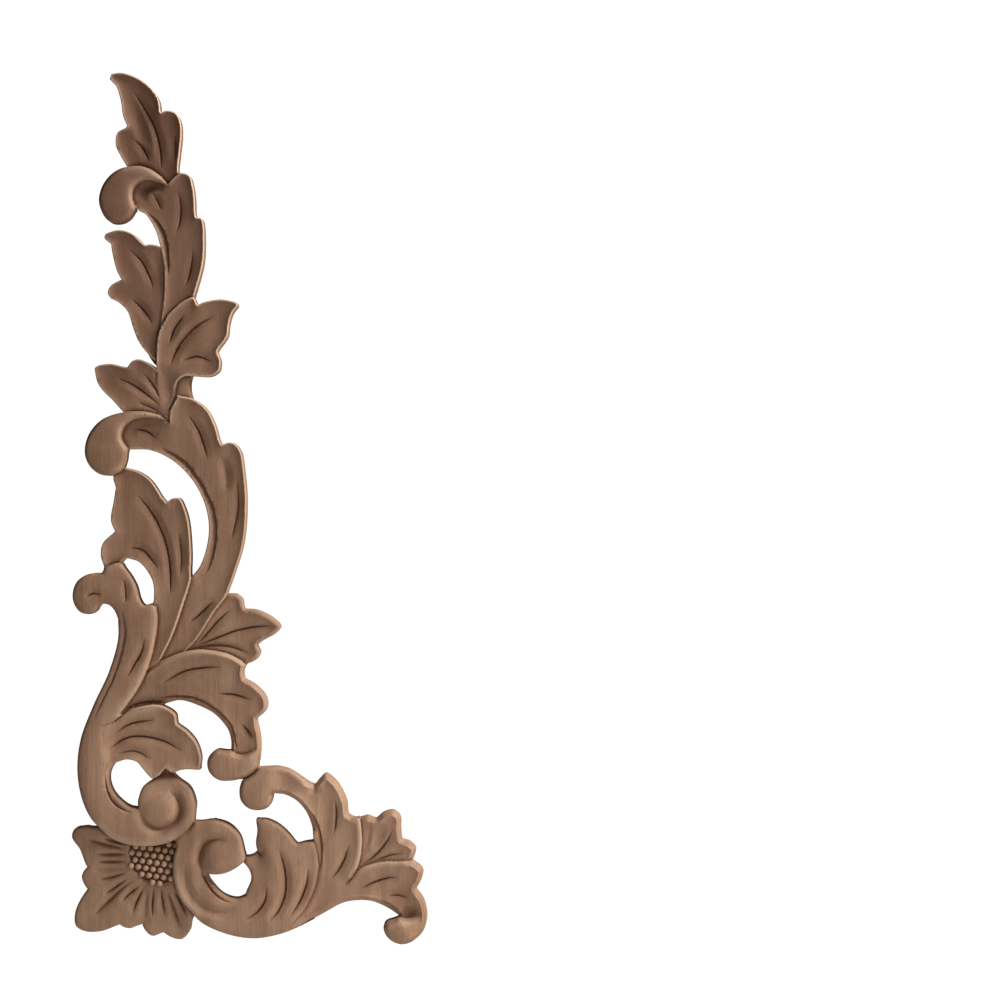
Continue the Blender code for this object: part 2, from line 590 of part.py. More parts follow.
def stems():
    """The second scroll's volute, the main stem with its own, and the leaf that leaves it."""
    yield leaf(
        "second volute",
        [
            [16, 16.7, 20, 17.2, 25, 15.8, 28.8, 12, 30.2, 7.5, 30.5, 4.3],
            [29.9, 2.2],
            [26.5, -0.1, 22.5, -1.6, 17.2, -1.8],
            [14, -4.5, 9, -4, 8, 4, 10, 12],
            [12.9, 16.2],
            [16, 16.7],
        ],
        [14, 13, FORE + 0.2, 22, 4, CREST, 26, 12, FORE + 0.4, 9, 3, FORE, 15, -2, FORE],
        [
            ("spiral", 24, 9.6, 19.5, 9.8, 15.8, 7.6, 14.5, 3.5, 15.2, 0, 15.7, -2.6),
        ],
        bulge=0.5,
        fade=((9, 0, 13.5, 0), (15.5, -4, 16.5, 0.5)),
    )
    yield leaf(
        "main stem",
        [
            [-14.4, 105, -11.9, 105.1],
            [-9.1, 101.9, -6.5, 97.4, -5.3, 93, -4.3, 91.1, -2, 90.9, -0.4, 90.1],
            [0.1, 85.7, -0.6, 79.5, -2.5, 71.3, -6.5, 62.1, -12.7, 53.1],
            [-8, 47, -5, 40, -7, 36.9],
            [-10.2, 37.6, -13.9, 36.4, -15.8, 32, -14.5, 27, -10.5, 22.8, -6.7, 21],
            [-6, 24.4, -4.6, 28.2, -1.5, 30.7],
            [2.6, 33.9, 5.8, 32.6, 8.4, 31, 11.9, 28.2, 13.8, 23, 13.4, 18.5, 12.9, 16.2],
            [9.4, 12.2, 4.8, 9.2, -1, 7.8, -8.9, 8, -15.5, 10.3, -20.8, 15.4, -24.9, 22.8]
            + [-26.9, 33, -25.9, 44.2, -21.6, 55.9, -16.2, 67.6, -13, 79, -13, 86],
            [-14.3, 88.9, -16.4, 90.8, -19, 90.6, -20.5, 88.4],
            [-22.6, 87.5, -26.4, 88.6, -28.6, 93, -27.4, 98.3, -23.6, 101.2, -18.8, 101.7],
            [-17.6, 103.5, -14.4, 105],
        ],
        [-24, 94, FORE, -14, 98, FORE, -9, 85, FORE + 0.2, -8, 72, FORE + 0.4, -18, 55, FORE + 0.4]
        + [-22, 38, FORE + 0.4, -18, 20, FORE + 0.4, -3, 11, FORE + 0.6, 11, 20, FORE + 0.6]
        + [1, 20.5, CREST + 0.3, 3.4, 32.6, LEAF - 0.8, -1, 31, LEAF, 7.4, 31.4, LEAF + 0.2],
        [
            ("crease", -12.2, 88.8, -10.9, 82, -11.9, 75, -14.8, 65.8, -18.6, 57.9, -21.8, 51.2),
            ("step", -8.4, 19, -12, 20.3, -15.2, 22.7, -17.2, 26.9, -17.9, 32.4),
            ("undercut", -3.6, 29.8, 0, 31.6, 3.2, 32.5, 6.6, 31.2, 9, 29.6),
            ("V", -4.2, 79.4, -5.3, 74.4, -7.9, 69.8, -10.6, 65.3),
            ("v", -24.7, 93.1, -22.2, 94.5, -19.1, 94.1),
            ("v", -11.5, 99.6, -10.7, 95.4, -10.9, 91.2),
            ("spiral", 3.8, 26.8, 7.1, 23.6, 8, 20.1, 5.9, 15.9, 1, 13.6, -3.3, 15.4, -5.6, 19, -6.2, 21),
        ],
        bulge=0.6,
        reach=5,
        rim=0.6,
        drop=0.5,
    )
    yield leaf(
        "two lobed leaf",
        [
            [-9.6, 54.5, -2.2, 56.1, 4.2, 55.5, 7, 53.3, 7.5, 50.1],
            [11, 47.6, 14.2, 43.6, 15.7, 38, 14.8, 33.8],
            [11.6, 34.3, 7.9, 33.9, 6.2, 33],
            [4.7, 33.2, 3, 34.3],
            [1.9, 33.4, 0.6, 31.9, -1.6, 31],
            [-4.4, 34.5, -6.7, 37, -10.2, 37.7, -13.9, 36.5],
            [-19, 33, -24, 40, -21, 48],
            [-14.8, 50.5],
            [-9.6, 54.5],
        ],
        [-20, 42, FORE + 0.5, -8, 47, FORE + 0.8, 6, 46, FORE + 0.8, 13, 37, LEAF + 0.8, 0, 34, FORE + 0.7]
        + [4.5, 35.5, FORE + 0.7],
        [
            ("V", -14.8, 46.2, -9.3, 49.6, -0.4, 51.2),
            ("V", -17.6, 40.4, -9.3, 45.2, 1.5, 44.1, 8.8, 40.2),
            ("v", -14.2, 39.3, -7.7, 40.3, -1.9, 37.4),
            ("V", -6, 56, -9.6, 54.6, -13, 52, -16.4, 48.6),
        ],
        bulge=-0.6,
        fade=((-21, 44, -13, 44), (-17.5, 33, -13.5, 35)),
    )


def from_segments(loop, p):
    """Signed distance of points p from a closed loop, positive inside."""
    out = np.empty(len(p))
    a, b = loop, np.roll(loop, -1, axis=0)
    ab = b - a
    square = np.maximum((ab**2).sum(1), 1e-12)
    for first in range(0, len(p), 4000):
        q = p[first : first + 4000]
        ap = q[:, None] - a
        t = np.clip((ap * ab).sum(2) / square, 0, 1)
        near = np.sqrt(((ap - t[..., None] * ab) ** 2).sum(2).min(1))
        cross = (a[:, 1] > q[:, 1:]) != (b[:, 1] > q[:, 1:])
        with np.errstate(divide="ignore", invalid="ignore"):
            at = a[:, 0] + (q[:, 1:] - a[:, 1]) * ab[:, 0] / ab[:, 1]
        inside = (cross & (q[:, :1] < at)).sum(1) % 2 == 1
        out[first : first + 4000] = np.where(inside, near, -near)
    return out


def from_path(path, p):
    """Distance of points p from an open path, the way along it in mm, its length, and which points
    lie on the right of it."""
    a, b = path[:-1], path[1:]
    ab = b - a
    length = np.sqrt((ab**2).sum(1))
    begin = np.concatenate([[0], np.cumsum(length)])
    ap = p[:, None] - a
    t = np.clip((ap * ab).sum(2) / np.maximum(length**2, 1e-12), 0, 1)
    gap = np.sqrt(((ap - t[..., None] * ab) ** 2).sum(2))
    which = gap.argmin(1)
    row = np.arange(len(p))
    right = ab[which, 0] * ap[row, which, 1] - ab[which, 1] * ap[row, which, 0] < 0
    return gap[row, which], begin[which] + t[row, which] * length[which], begin[-1], right


def weight(element, p):
    """How fully the element has grown out of its stem at points p."""
    share = np.ones(len(p))
    for x0, z0, x1, z1 in element["fade"]:
        way = np.array([x1 - x0, z1 - z0])
        t = np.clip(((p - (x0, z0)) @ way) / (way @ way), 0, 1)
        share *= t * t * (3 - 2 * t)
    return share


def cut_depth(element, p):
    """How deep the element's own tool cuts go at points p."""
    deep = np.zeros(len(p))
    for kind, path in element["tracks"]:
        half, core, wide, soft = TOOLS[kind]
        box = max(half, wide) + 0.1
        near = ((p > path.min(0) - box) & (p < path.max(0) + box)).all(1)
        if not near.any():
            continue
        gap, along, length, right = from_path(path, p[near])
        run = min(9.0, 0.5 * length)
        taper = np.clip(np.minimum(along, length - along) / run, 0, 1)
        taper = np.sin(taper * math.pi / 2)
        here = soft * taper * np.maximum(0, 1 - (gap / wide) ** 2) ** 2
        if kind in ("ledge", "crease", "step"):
            here = here * np.where(right, 1, np.maximum(0, 1 - gap / 0.3))
        if half:
            here = here + core * taper * np.maximum(0, 1 - gap / (half * (0.45 + 0.55 * taper)))
        deep[near] = np.maximum(deep[near], here)
    return deep


def own_height(element, p, inset):
    """Height of one element's surface at points p that lie inset from its outline."""
    spots = element["spots"]
    share = (((p[:, None] - spots[:, :2]) ** 2).sum(2) + 4) ** -1.5
    height = (share * spots[:, 2]).sum(1) / share.sum(1)
    wide = np.ones(len(p))
    for path in element["thin"]:
        wide = np.minimum(wide, np.clip(from_path(path, p)[0] / 2.5 - 0.4, 0.3, 1))
    across = np.clip(inset / (element["rim"] * wide), 0, 1)
    height -= element["drop"] * wide * (1 - across) ** 1.3
    start = element["rim"] if element["bulge"] < 0 else 0
    middle = np.clip((inset - start) / element["reach"], 0, 1)
    height += element["bulge"] * np.sqrt(1 - (1 - middle) ** 2)
    if element["name"] == "seed head":
        bed = np.clip(0.6 + inset / 0.5, 0, 1)
        height += bed * (1.1 * seeds(p) - 1.3)
    return height - cut_depth(element, p)


def surface(elements, p):
    """Height of the carving at points p, and zero off it."""
    height = np.zeros(len(p))
    for element in elements:
        loop = element["loop"]
        near = ((p > loop.min(0) - 1.6) & (p < loop.max(0) + 1.6)).all(1)
        if not near.any():
            continue
        q = p[near]
        inset = from_segments(loop, q)
        share = weight(element, q)
        low = height[near]
        beside = (inset <= -0.01) & (low > 0)
        shade = np.clip(1 + inset / 1.4, 0, 1) ** 2
        low = low - np.where(beside, FOOT_CUT * shade * share**3, 0)
        on = inset > -0.01
        high = own_height(element, q, np.maximum(inset, 0))
        low[on] = (low + (high - low) * np.where(low > 0, share, 1))[on]
        height[near] = low
    return height


class Scatter:
    """Points no closer to each other than asked."""

    def __init__(self, cell):
        self.cell = cell
        self.points = []
        self.grid = {}

    def clear(self, point, room):
        reach = math.ceil(room / self.cell)
        i, j = int(math.floor(point[0] / self.cell)), int(math.floor(point[1] / self.cell))
        for u in range(i - reach, i + reach + 1):
            for v in range(j - reach, j + reach + 1):
                for k in self.grid.get((u, v), ()):
                    if math.dist(self.points[k], point) < room:
                        return False
        return True

    def add(self, point):
        key = (int(math.floor(point[0] / self.cell)), int(math.floor(point[1] / self.cell)))
        self.grid.setdefault(key, []).append(len(self.points))
        self.points.append((float(point[0]), float(point[1])))
        return len(self.points) - 1


def covered(elements, level, p):
    """Whether the elements in front of the one at this level hide points p."""
    hidden = np.zeros(len(p), bool)
    for element in elements[level + 1 :]:
        loop = element["loop"]
        near = ((p > loop.min(0)) & (p < loop.max(0))).all(1) & ~hidden
        if near.any():
            q = p[near]
            hidden[near] = (from_segments(loop, q) > 0.02) & (weight(element, q) > 0.25)
    return hidden


def crossing(elements, level, seen, unseen):
    """Where the line from a seen point to an unseen one goes under the elements in front."""
    for _ in range(18):
        middle = (seen + unseen) / 2
        if covered(elements, level, middle[None])[0]:
            unseen = middle
        else:
            seen = middle
    return (seen + unseen) / 2


def lay_out(elements):
    """Points of the mesh in the plane, and the edges that outlines and cuts need."""
    scatter = Scatter(1.0)
    edges = []
    rows = []
    for level, element in enumerate(elements):
        loop = element["loop"]
        hidden = covered(elements, level, loop)
        faded = weight(element, loop) < 0.25
        below = surface(elements[:level], loop) > 0
        hidden = hidden | (faded & below)
        following = np.roll(loop, -1, axis=0)
        tangent = following - np.roll(loop, 1, axis=0)
        tangent /= np.maximum(np.hypot(*tangent.T), 1e-9)[:, None]
        inward = np.column_stack([-tangent[:, 1], tangent[:, 0]]) * element["turn"]
        made = {}
        count = len(loop)
        for i in range(count):
            j = (i + 1) % count
            if hidden[i] and hidden[j]:
                continue
            ends = []
            for k, other in ((i, j), (j, i)):
                if not hidden[k]:
                    if k not in made:
                        made[k] = scatter.add(loop[k])
                    ends.append(made[k])
                elif covered(elements, level, loop[k][None])[0]:
                    ends.append(scatter.add(crossing(elements, level, loop[other], loop[k])))
            if len(ends) == 2 and ends[0] != ends[1]:
                edges.append(tuple(ends))
        rim = loop + inward * element["rim"]
        foot = loop - inward * FOOT
        ok = ~hidden
        rows.append((level, rim[ok], element["rim"]))
        rows.append((level, foot[ok], -FOOT))
    for level, points, inset in rows:
        element = elements[level]
        away = from_segments(element["loop"], points)
        ok = np.abs(away - inset) < 0.3 * abs(inset)
        if inset < 0:
            ok &= surface(elements, points) > 0
        ok &= ~covered(elements, level, points)
        room = 0.22 if inset < 0 else 0.6
        for point in points[ok]:
            if scatter.clear(point, room):
                scatter.add(point)
    for level, element in enumerate(elements):
        for kind, path in element["tracks"]:
            half = TOOLS[kind][0]
            if not half:
                continue
            inset = from_segments(element["loop"], path)
            ok = (inset > 0.5) & ~covered(elements, level, path)
            last = None
            side = np.gradient(path, axis=0)
            side /= np.maximum(np.hypot(*side.T), 1e-9)[:, None]
            side = np.column_stack([-side[:, 1], side[:, 0]]) * half
            for k, point in enumerate(path):
                if ok[k] and scatter.clear(point, 0.6):
                    here = scatter.add(point)
                    if last is not None:
                        edges.append((last, here))
                    last = here
                else:
                    last = None
            for k in range(1, len(path) - 1):
                for point in (path[k] + side[k], path[k] - side[k]):
                    if ok[k] and scatter.clear(point, 0.75 * half):
                        scatter.add(point)
    head = [e["name"] for e in elements].index("seed head")
    for point in seed_points():
        if scatter.clear(point, 0.5) and not covered(elements, head, np.array([point]))[0]:
            scatter.add(point)
    low = np.min([e["loop"].min(0) for e in elements], axis=0)
    high = np.max([e["loop"].max(0) for e in elements], axis=0)
    grid = []
    row = 0
    z = low[1]
    while z < high[1]:
        x = low[0] + (row % 2) * FILL / 2
        while x < high[0]:
            grid.append((x, z))
            x += FILL
        z += FILL * 0.866
        row += 1
    grid = np.array(grid)
    for point in grid[surface(elements, grid) > 0]:
        if scatter.clear(point, 0.62 * FILL):
            scatter.add(point)
    return scatter.points, edges


def on_carving(elements, p):
    """Whether points p lie on any element."""
    found = np.zeros(len(p), bool)
    for element in elements:
        loop = element["loop"]
        near = ((p > loop.min(0)) & (p < loop.max(0))).all(1) & ~found
        if near.any():
            found[near] = from_segments(loop, p[near]) > 0
    return found


def triangles(elements, points, edges):
    """Triangles over the carving that keep the given edges."""
    made = delaunay_2d_cdt([tuple(q) for q in points], edges, [], 0, 1e-4)
    flat = np.array([tuple(v) for v in made[0]])
    faces = np.array([f for f in made[2] if len(f) == 3])
    a, b, c = (flat[faces[:, k]] for k in range(3))
    area = 0.5 * ((b - a)[:, 0] * (c - a)[:, 1] - (b - a)[:, 1] * (c - a)[:, 0])
    keep = on_carving(elements, (a + b + c) / 3) & (np.abs(area) > 1e-7)
    faces = np.where((area > 0)[:, None], faces, faces[:, ::-1])[keep]
    return flat, faces


def border(faces):
    """The directed edges that only one triangle has."""
    ends = np.concatenate([faces[:, [0, 1]], faces[:, [1, 2]], faces[:, [2, 0]]])
    known = {tuple(e) for e in ends.tolist()}
    return [(a, b) for a, b in ends.tolist() if (b, a) not in known]


def applique_mesh(elements):
    """The carved face, its walls and its flat back as one closed mesh."""
    points, edges = lay_out(elements)
    flat, faces = triangles(elements, points, edges)
    height = surface(elements, flat)
    rim = border(faces)
    edge_points = sorted({a for a, _ in rim} | {b for _, b in rim})
    back = {k: len(flat) + i for i, k in enumerate(edge_points)}
    number = {k: i for i, k in enumerate(edge_points)}
    outline = [tuple(flat[k]) for k in edge_points]
    behind, under = triangles(elements, outline, [(number[a], number[b]) for a, b in rim])
    verts = [(x * MM, -max(h, 1.0) * MM, z * MM) for (x, z), h in zip(flat, height)]
    verts += [(flat[k][0] * MM, 0.0, flat[k][1] * MM) for k in edge_points]
    all_faces = [tuple(f) for f in faces.tolist()]
    all_faces += [(b, a, back[a], back[b]) for a, b in rim]
    if len(behind) != len(edge_points):
        raise ValueError("the back's outline crosses itself")
    all_faces += [tuple(len(flat) + k for k in reversed(f)) for f in under.tolist()]
    return verts, all_faces


def straight_view(elements, element):
    """The element's outline without what the straight view adds to it or hides from it. Only the
    outer edges change, and the step is averaged over a few millimetres so that it has no jumps."""
    loop = element["loop"]
    along = np.roll(loop, -1, axis=0) - np.roll(loop, 1, axis=0)
    outward = np.column_stack([along[:, 1], -along[:, 0]]) * element["turn"]
    outward /= np.maximum(np.hypot(*outward.T), 1e-9)[:, None]
    facing = ((VIEW - loop) * outward).sum(1)
    step = np.where(facing > 0, -WALL_SEEN, -EDGE_HIDDEN) * facing
    step[on_carving(elements, loop + 0.7 * outward)] = 0
    gap = np.hypot(*(np.roll(loop, -1, axis=0) - loop).T)
    at = np.cumsum(gap) - gap
    apart = np.abs(at[:, None] - at)
    share = np.clip(1 - np.minimum(apart, gap.sum() - apart) / STEP_MEAN, 0, 1) * gap
    return loop + outward * ((share @ step) / share.sum(1))[:, None]


def drawing():
    """Every element with its outline and cuts turned into points, from the back to the front."""
    elements = [*upper_scrolls(), *corner(), *main_scrolls(), *stems()]
    for element in elements:
        runs = [curve(s, CHORD, SHORTEST, LONGEST)[:-1] for s in element["strokes"]]
        loop = np.vstack(runs)
        gap = np.hypot(*(loop - np.roll(loop, 1, axis=0)).T)
        loop = loop[gap > 0.05]
        ahead = np.roll(loop, -1, axis=0)
        area = (loop[:, 0] * ahead[:, 1] - ahead[:, 0] * loop[:, 1]).sum()
        element["loop"] = loop
        element["turn"] = 1 if area > 0 else -1
        element["tracks"] = [(kind, curve(c, CHORD, 1.8, CUT_STEP)) for kind, c in element["cuts"]]
    outlines = [straight_view(elements, element) for element in elements]
    for element, outline in zip(elements, outlines):
        element["loop"] = outline
    return elements


def wood():
    material = bpy.data.materials.new("brown hardwood")
    material.use_nodes = True
    shader = material.node_tree.nodes["Principled BSDF"]
    shader.inputs["Base Color"].default_value = (0.185, 0.105, 0.062, 1)
    shader.inputs["Roughness"].default_value = 0.62
    shader.inputs["Metallic"].default_value = 0.0
    return material


def main():
    for old in list(bpy.data.objects):
        bpy.data.objects.remove(old)
    bpy.context.scene.unit_settings.system = "METRIC"
    verts, faces = applique_mesh(drawing())
    mesh = bpy.data.meshes.new("applique")
    mesh.from_pydata(verts, [], faces)
    mesh.validate()
    mesh.shade_smooth()
    mesh.set_sharp_from_angle(angle=math.radians(32))
    mesh.materials.append(wood())
    applique = bpy.data.objects.new("applique", mesh)
    bpy.context.scene.collection.objects.link(applique)


main()
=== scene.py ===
# %% [markdown]
# # A carved corner applique
# The real piece is cut from one board of brown hardwood, about 30 cm tall and 1 cm thick. A fret saw or a
# router takes out the openings, then gouges and a V tool shape the leaves one behind another. It is glued
# into the corner of a door or a panel, so its back is flat.
#
# The solid model gives the true form with few faces. Here the same drawing is carved again with a mesh
# some sixteen times finer, so that rounded edges, cuts and seeds catch the light as they do on the wood.

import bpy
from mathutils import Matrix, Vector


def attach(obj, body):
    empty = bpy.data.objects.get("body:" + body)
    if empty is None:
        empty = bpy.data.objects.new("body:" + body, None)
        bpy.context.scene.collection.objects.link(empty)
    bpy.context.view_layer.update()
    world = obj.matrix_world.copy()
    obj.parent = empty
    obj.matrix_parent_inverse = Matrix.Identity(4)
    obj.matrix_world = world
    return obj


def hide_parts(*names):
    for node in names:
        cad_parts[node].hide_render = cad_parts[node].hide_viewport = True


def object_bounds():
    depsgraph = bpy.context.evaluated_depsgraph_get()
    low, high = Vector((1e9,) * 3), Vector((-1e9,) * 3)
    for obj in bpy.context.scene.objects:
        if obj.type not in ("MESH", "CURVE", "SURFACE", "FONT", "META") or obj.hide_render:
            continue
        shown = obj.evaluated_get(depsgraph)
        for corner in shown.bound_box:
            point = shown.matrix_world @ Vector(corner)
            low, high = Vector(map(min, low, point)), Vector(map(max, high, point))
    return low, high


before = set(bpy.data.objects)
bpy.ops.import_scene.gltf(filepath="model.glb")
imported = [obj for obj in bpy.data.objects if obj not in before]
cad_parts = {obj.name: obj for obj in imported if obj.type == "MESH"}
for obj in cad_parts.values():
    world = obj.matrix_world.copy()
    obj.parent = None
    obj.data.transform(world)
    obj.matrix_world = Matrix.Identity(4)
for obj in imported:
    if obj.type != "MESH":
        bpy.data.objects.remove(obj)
cad_low, cad_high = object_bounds()
print("solid model, mm:", [round(1000 * (high - low), 1) for low, high in zip(cad_low, cad_high)])

# %% [markdown]
# ## Heights and tools
# A carver thinks in layers: stems and leaves at the very back, the middle leaves, those in front, and the
# crests of the curls. These are the heights of the layers above the flat back, in millimetres, with the
# width of a V cut and of the rounded edge that each leaf has.

# %% Layers, edges and tools
import math

import bpy
import numpy as np
from mathutils import Vector
from mathutils.geometry import delaunay_2d_cdt

MM = 0.001

LOW = 5.4        # stems and leaves at the very back
ROSETTE = 6.2    # petals where they meet the seed head
LEAF = 7.0       # leaves in the middle layer
FORE = 8.0       # leaves and stems in front
CREST = 9.0      # crests of the curls and the volutes

ROUND = 0.55     # width of the rounded edge of a leaf
DROP = 0.6       # how far that edge falls before the wall
VEE = 0.42       # half width of a V tool's cut
VEE_DEEP = 0.9
FOOT_CUT = 0.5   # depth of the shadow line cut beside a leaf that stands over another
FOOT_REACH = 1.4   # width of that line
THINNEST = 1.0   # least thickness of the board at an edge

# kind of cut: half width, depth, half width of its soft shoulders, their depth, and its darkness, which is
# partly the darker wood of the cut and partly painted shade in and beside it.
# A ledge, a crease or a step has its shoulder on the right of its path alone, where the wood lies lower
TOOLS = {
    "V": (VEE, VEE_DEEP, 2.6, 0.55, 1.0),
    "v": (VEE * 0.9, VEE_DEEP * 0.7, 2.2, 0.35, 0.85),
    "flute": (0.7, 0.75, 2.2, 0.45, 0.9),
    "soft": (0.9, 0.25, 2.8, 0.7, 0.15),
    "ledge": (0.4, 0.3, 3.2, 0.8, 0.45),
    "crease": (0.4, 0.25, 2.6, 0.35, 0.3),
    "step": (0.45, 0.7, 3.4, 1.1, 1.0),
    # the undercut's darkness is painted shadow cast by the two lobed leaf onto the volute
    "undercut": (1.7, 0.4, 2.8, 0.4, 1.5),
    "spiral": (1.5, 1.2, 3.2, 0.8, 0.2),
    "gouge": (0.0, 0.0, 3.6, 0.8, 0.0),
    "cove": (0.0, 0.0, 3.0, 1.5, 0.0),
}

# %% [markdown]
# ## Lines and leaves
# Every leaf is a closed outline of smooth strokes that meet at corners. A centripetal curve passes through
# the given points without loops or overshoot, and it is sampled more closely where it bends more, so the
# mesh spends its points where the eye looks.

# %% Curves and leaves
def curve(points, chord, shortest, longest):
    """Points along a smooth curve through the given ones, closer where it bends more."""
    p = np.array(points, float)
    if len(p) > 2:
        ends = np.vstack([2 * p[0] - p[1], p, 2 * p[-1] - p[-2]])
        fine = []
        for i in range(len(p) - 1):
            a, b, c, d = ends[i : i + 4]
            knots = [max(float(np.hypot(*(v - u))), 1e-6) ** 0.5 for u, v in ((a, b), (b, c), (c, d))]
            slope_b = (b - a) / knots[0] - (c - a) / (knots[0] + knots[1]) + (c - b) / knots[1]
            slope_c = (c - b) / knots[1] - (d - b) / (knots[1] + knots[2]) + (d - c) / knots[2]
            t = np.linspace(0, 1, 24, endpoint=False)[:, None]
            m0, m1 = slope_b * knots[1], slope_c * knots[1]
            fine.append(
                (2 * t**3 - 3 * t**2 + 1) * b
                + (t**3 - 2 * t**2 + t) * m0
                + (3 * t**2 - 2 * t**3) * c
                + (t**3 - t**2) * m1
            )
        p = np.vstack(fine + [p[-1:]])
    step = np.diff(p, axis=0)
    length = np.maximum(np.hypot(step[:, 0], step[:, 1]), 1e-9)
    heading = np.unwrap(np.arctan2(step[:, 1], step[:, 0]))
    bend = np.zeros(len(length))
    if len(length) > 2:
        bend[1:-1] = np.abs(heading[2:] - heading[:-2]) / (length[1:-1] + 0.5 * (length[2:] + length[:-2]))
        bend[0], bend[-1] = bend[1], bend[-2]
    wanted = np.clip(np.sqrt(8 * chord / np.maximum(bend, 1e-4)), shortest, longest)
    effort = np.concatenate([[0], np.cumsum(length / wanted)])
    count = max(1, math.ceil(effort[-1] - 0.15))
    at = np.linspace(0, effort[-1], count + 1)
    return np.column_stack([np.interp(at, effort, p[:, k]) for k in (0, 1)])

def pairs(numbers):
    return [tuple(numbers[i : i + 2]) for i in range(0, len(numbers), 2)]


def leaf(
    name, outline, heights, cuts=(), rim=ROUND, drop=DROP, bulge=0.0, reach=4.0, fade=(), thin=()
):
    """One carved element. outline: strokes that meet at corners, each starting where the last
    one ended. heights: spots x, z, height. cuts: (kind, points) along the tool's path.
    bulge: how much the middle stands above the edge, reach mm from it, or how deep it is hollowed
    inside the rim if negative. fade: ways (x0, z0, x1, z1) along which the element grows out of
    its stem. thin: paths near which the rim is narrow."""
    strokes = [pairs(s) for s in outline]
    for i, stroke in enumerate(strokes):
        stroke.insert(0, strokes[i - 1][-1])
    return {
        "name": name,
        "strokes": strokes,
        "spots": np.array(heights, float).reshape(-1, 3),
        "cuts": [(kind, pairs(c)) for kind, *c in cuts],
        "rim": rim,
        "drop": drop,
        "bulge": bulge,
        "reach": reach,
        "fade": fade,
        "thin": [np.array(pairs(t)) for t in thin],
    }

# %% [markdown]
# ## The climbing leaves
# From the back to the front: the stem, the tip leaf, the leaf below it with its curl, and the pairs of
# leaves at both sides. Points are millimetres right of and above the middle of the rosette.

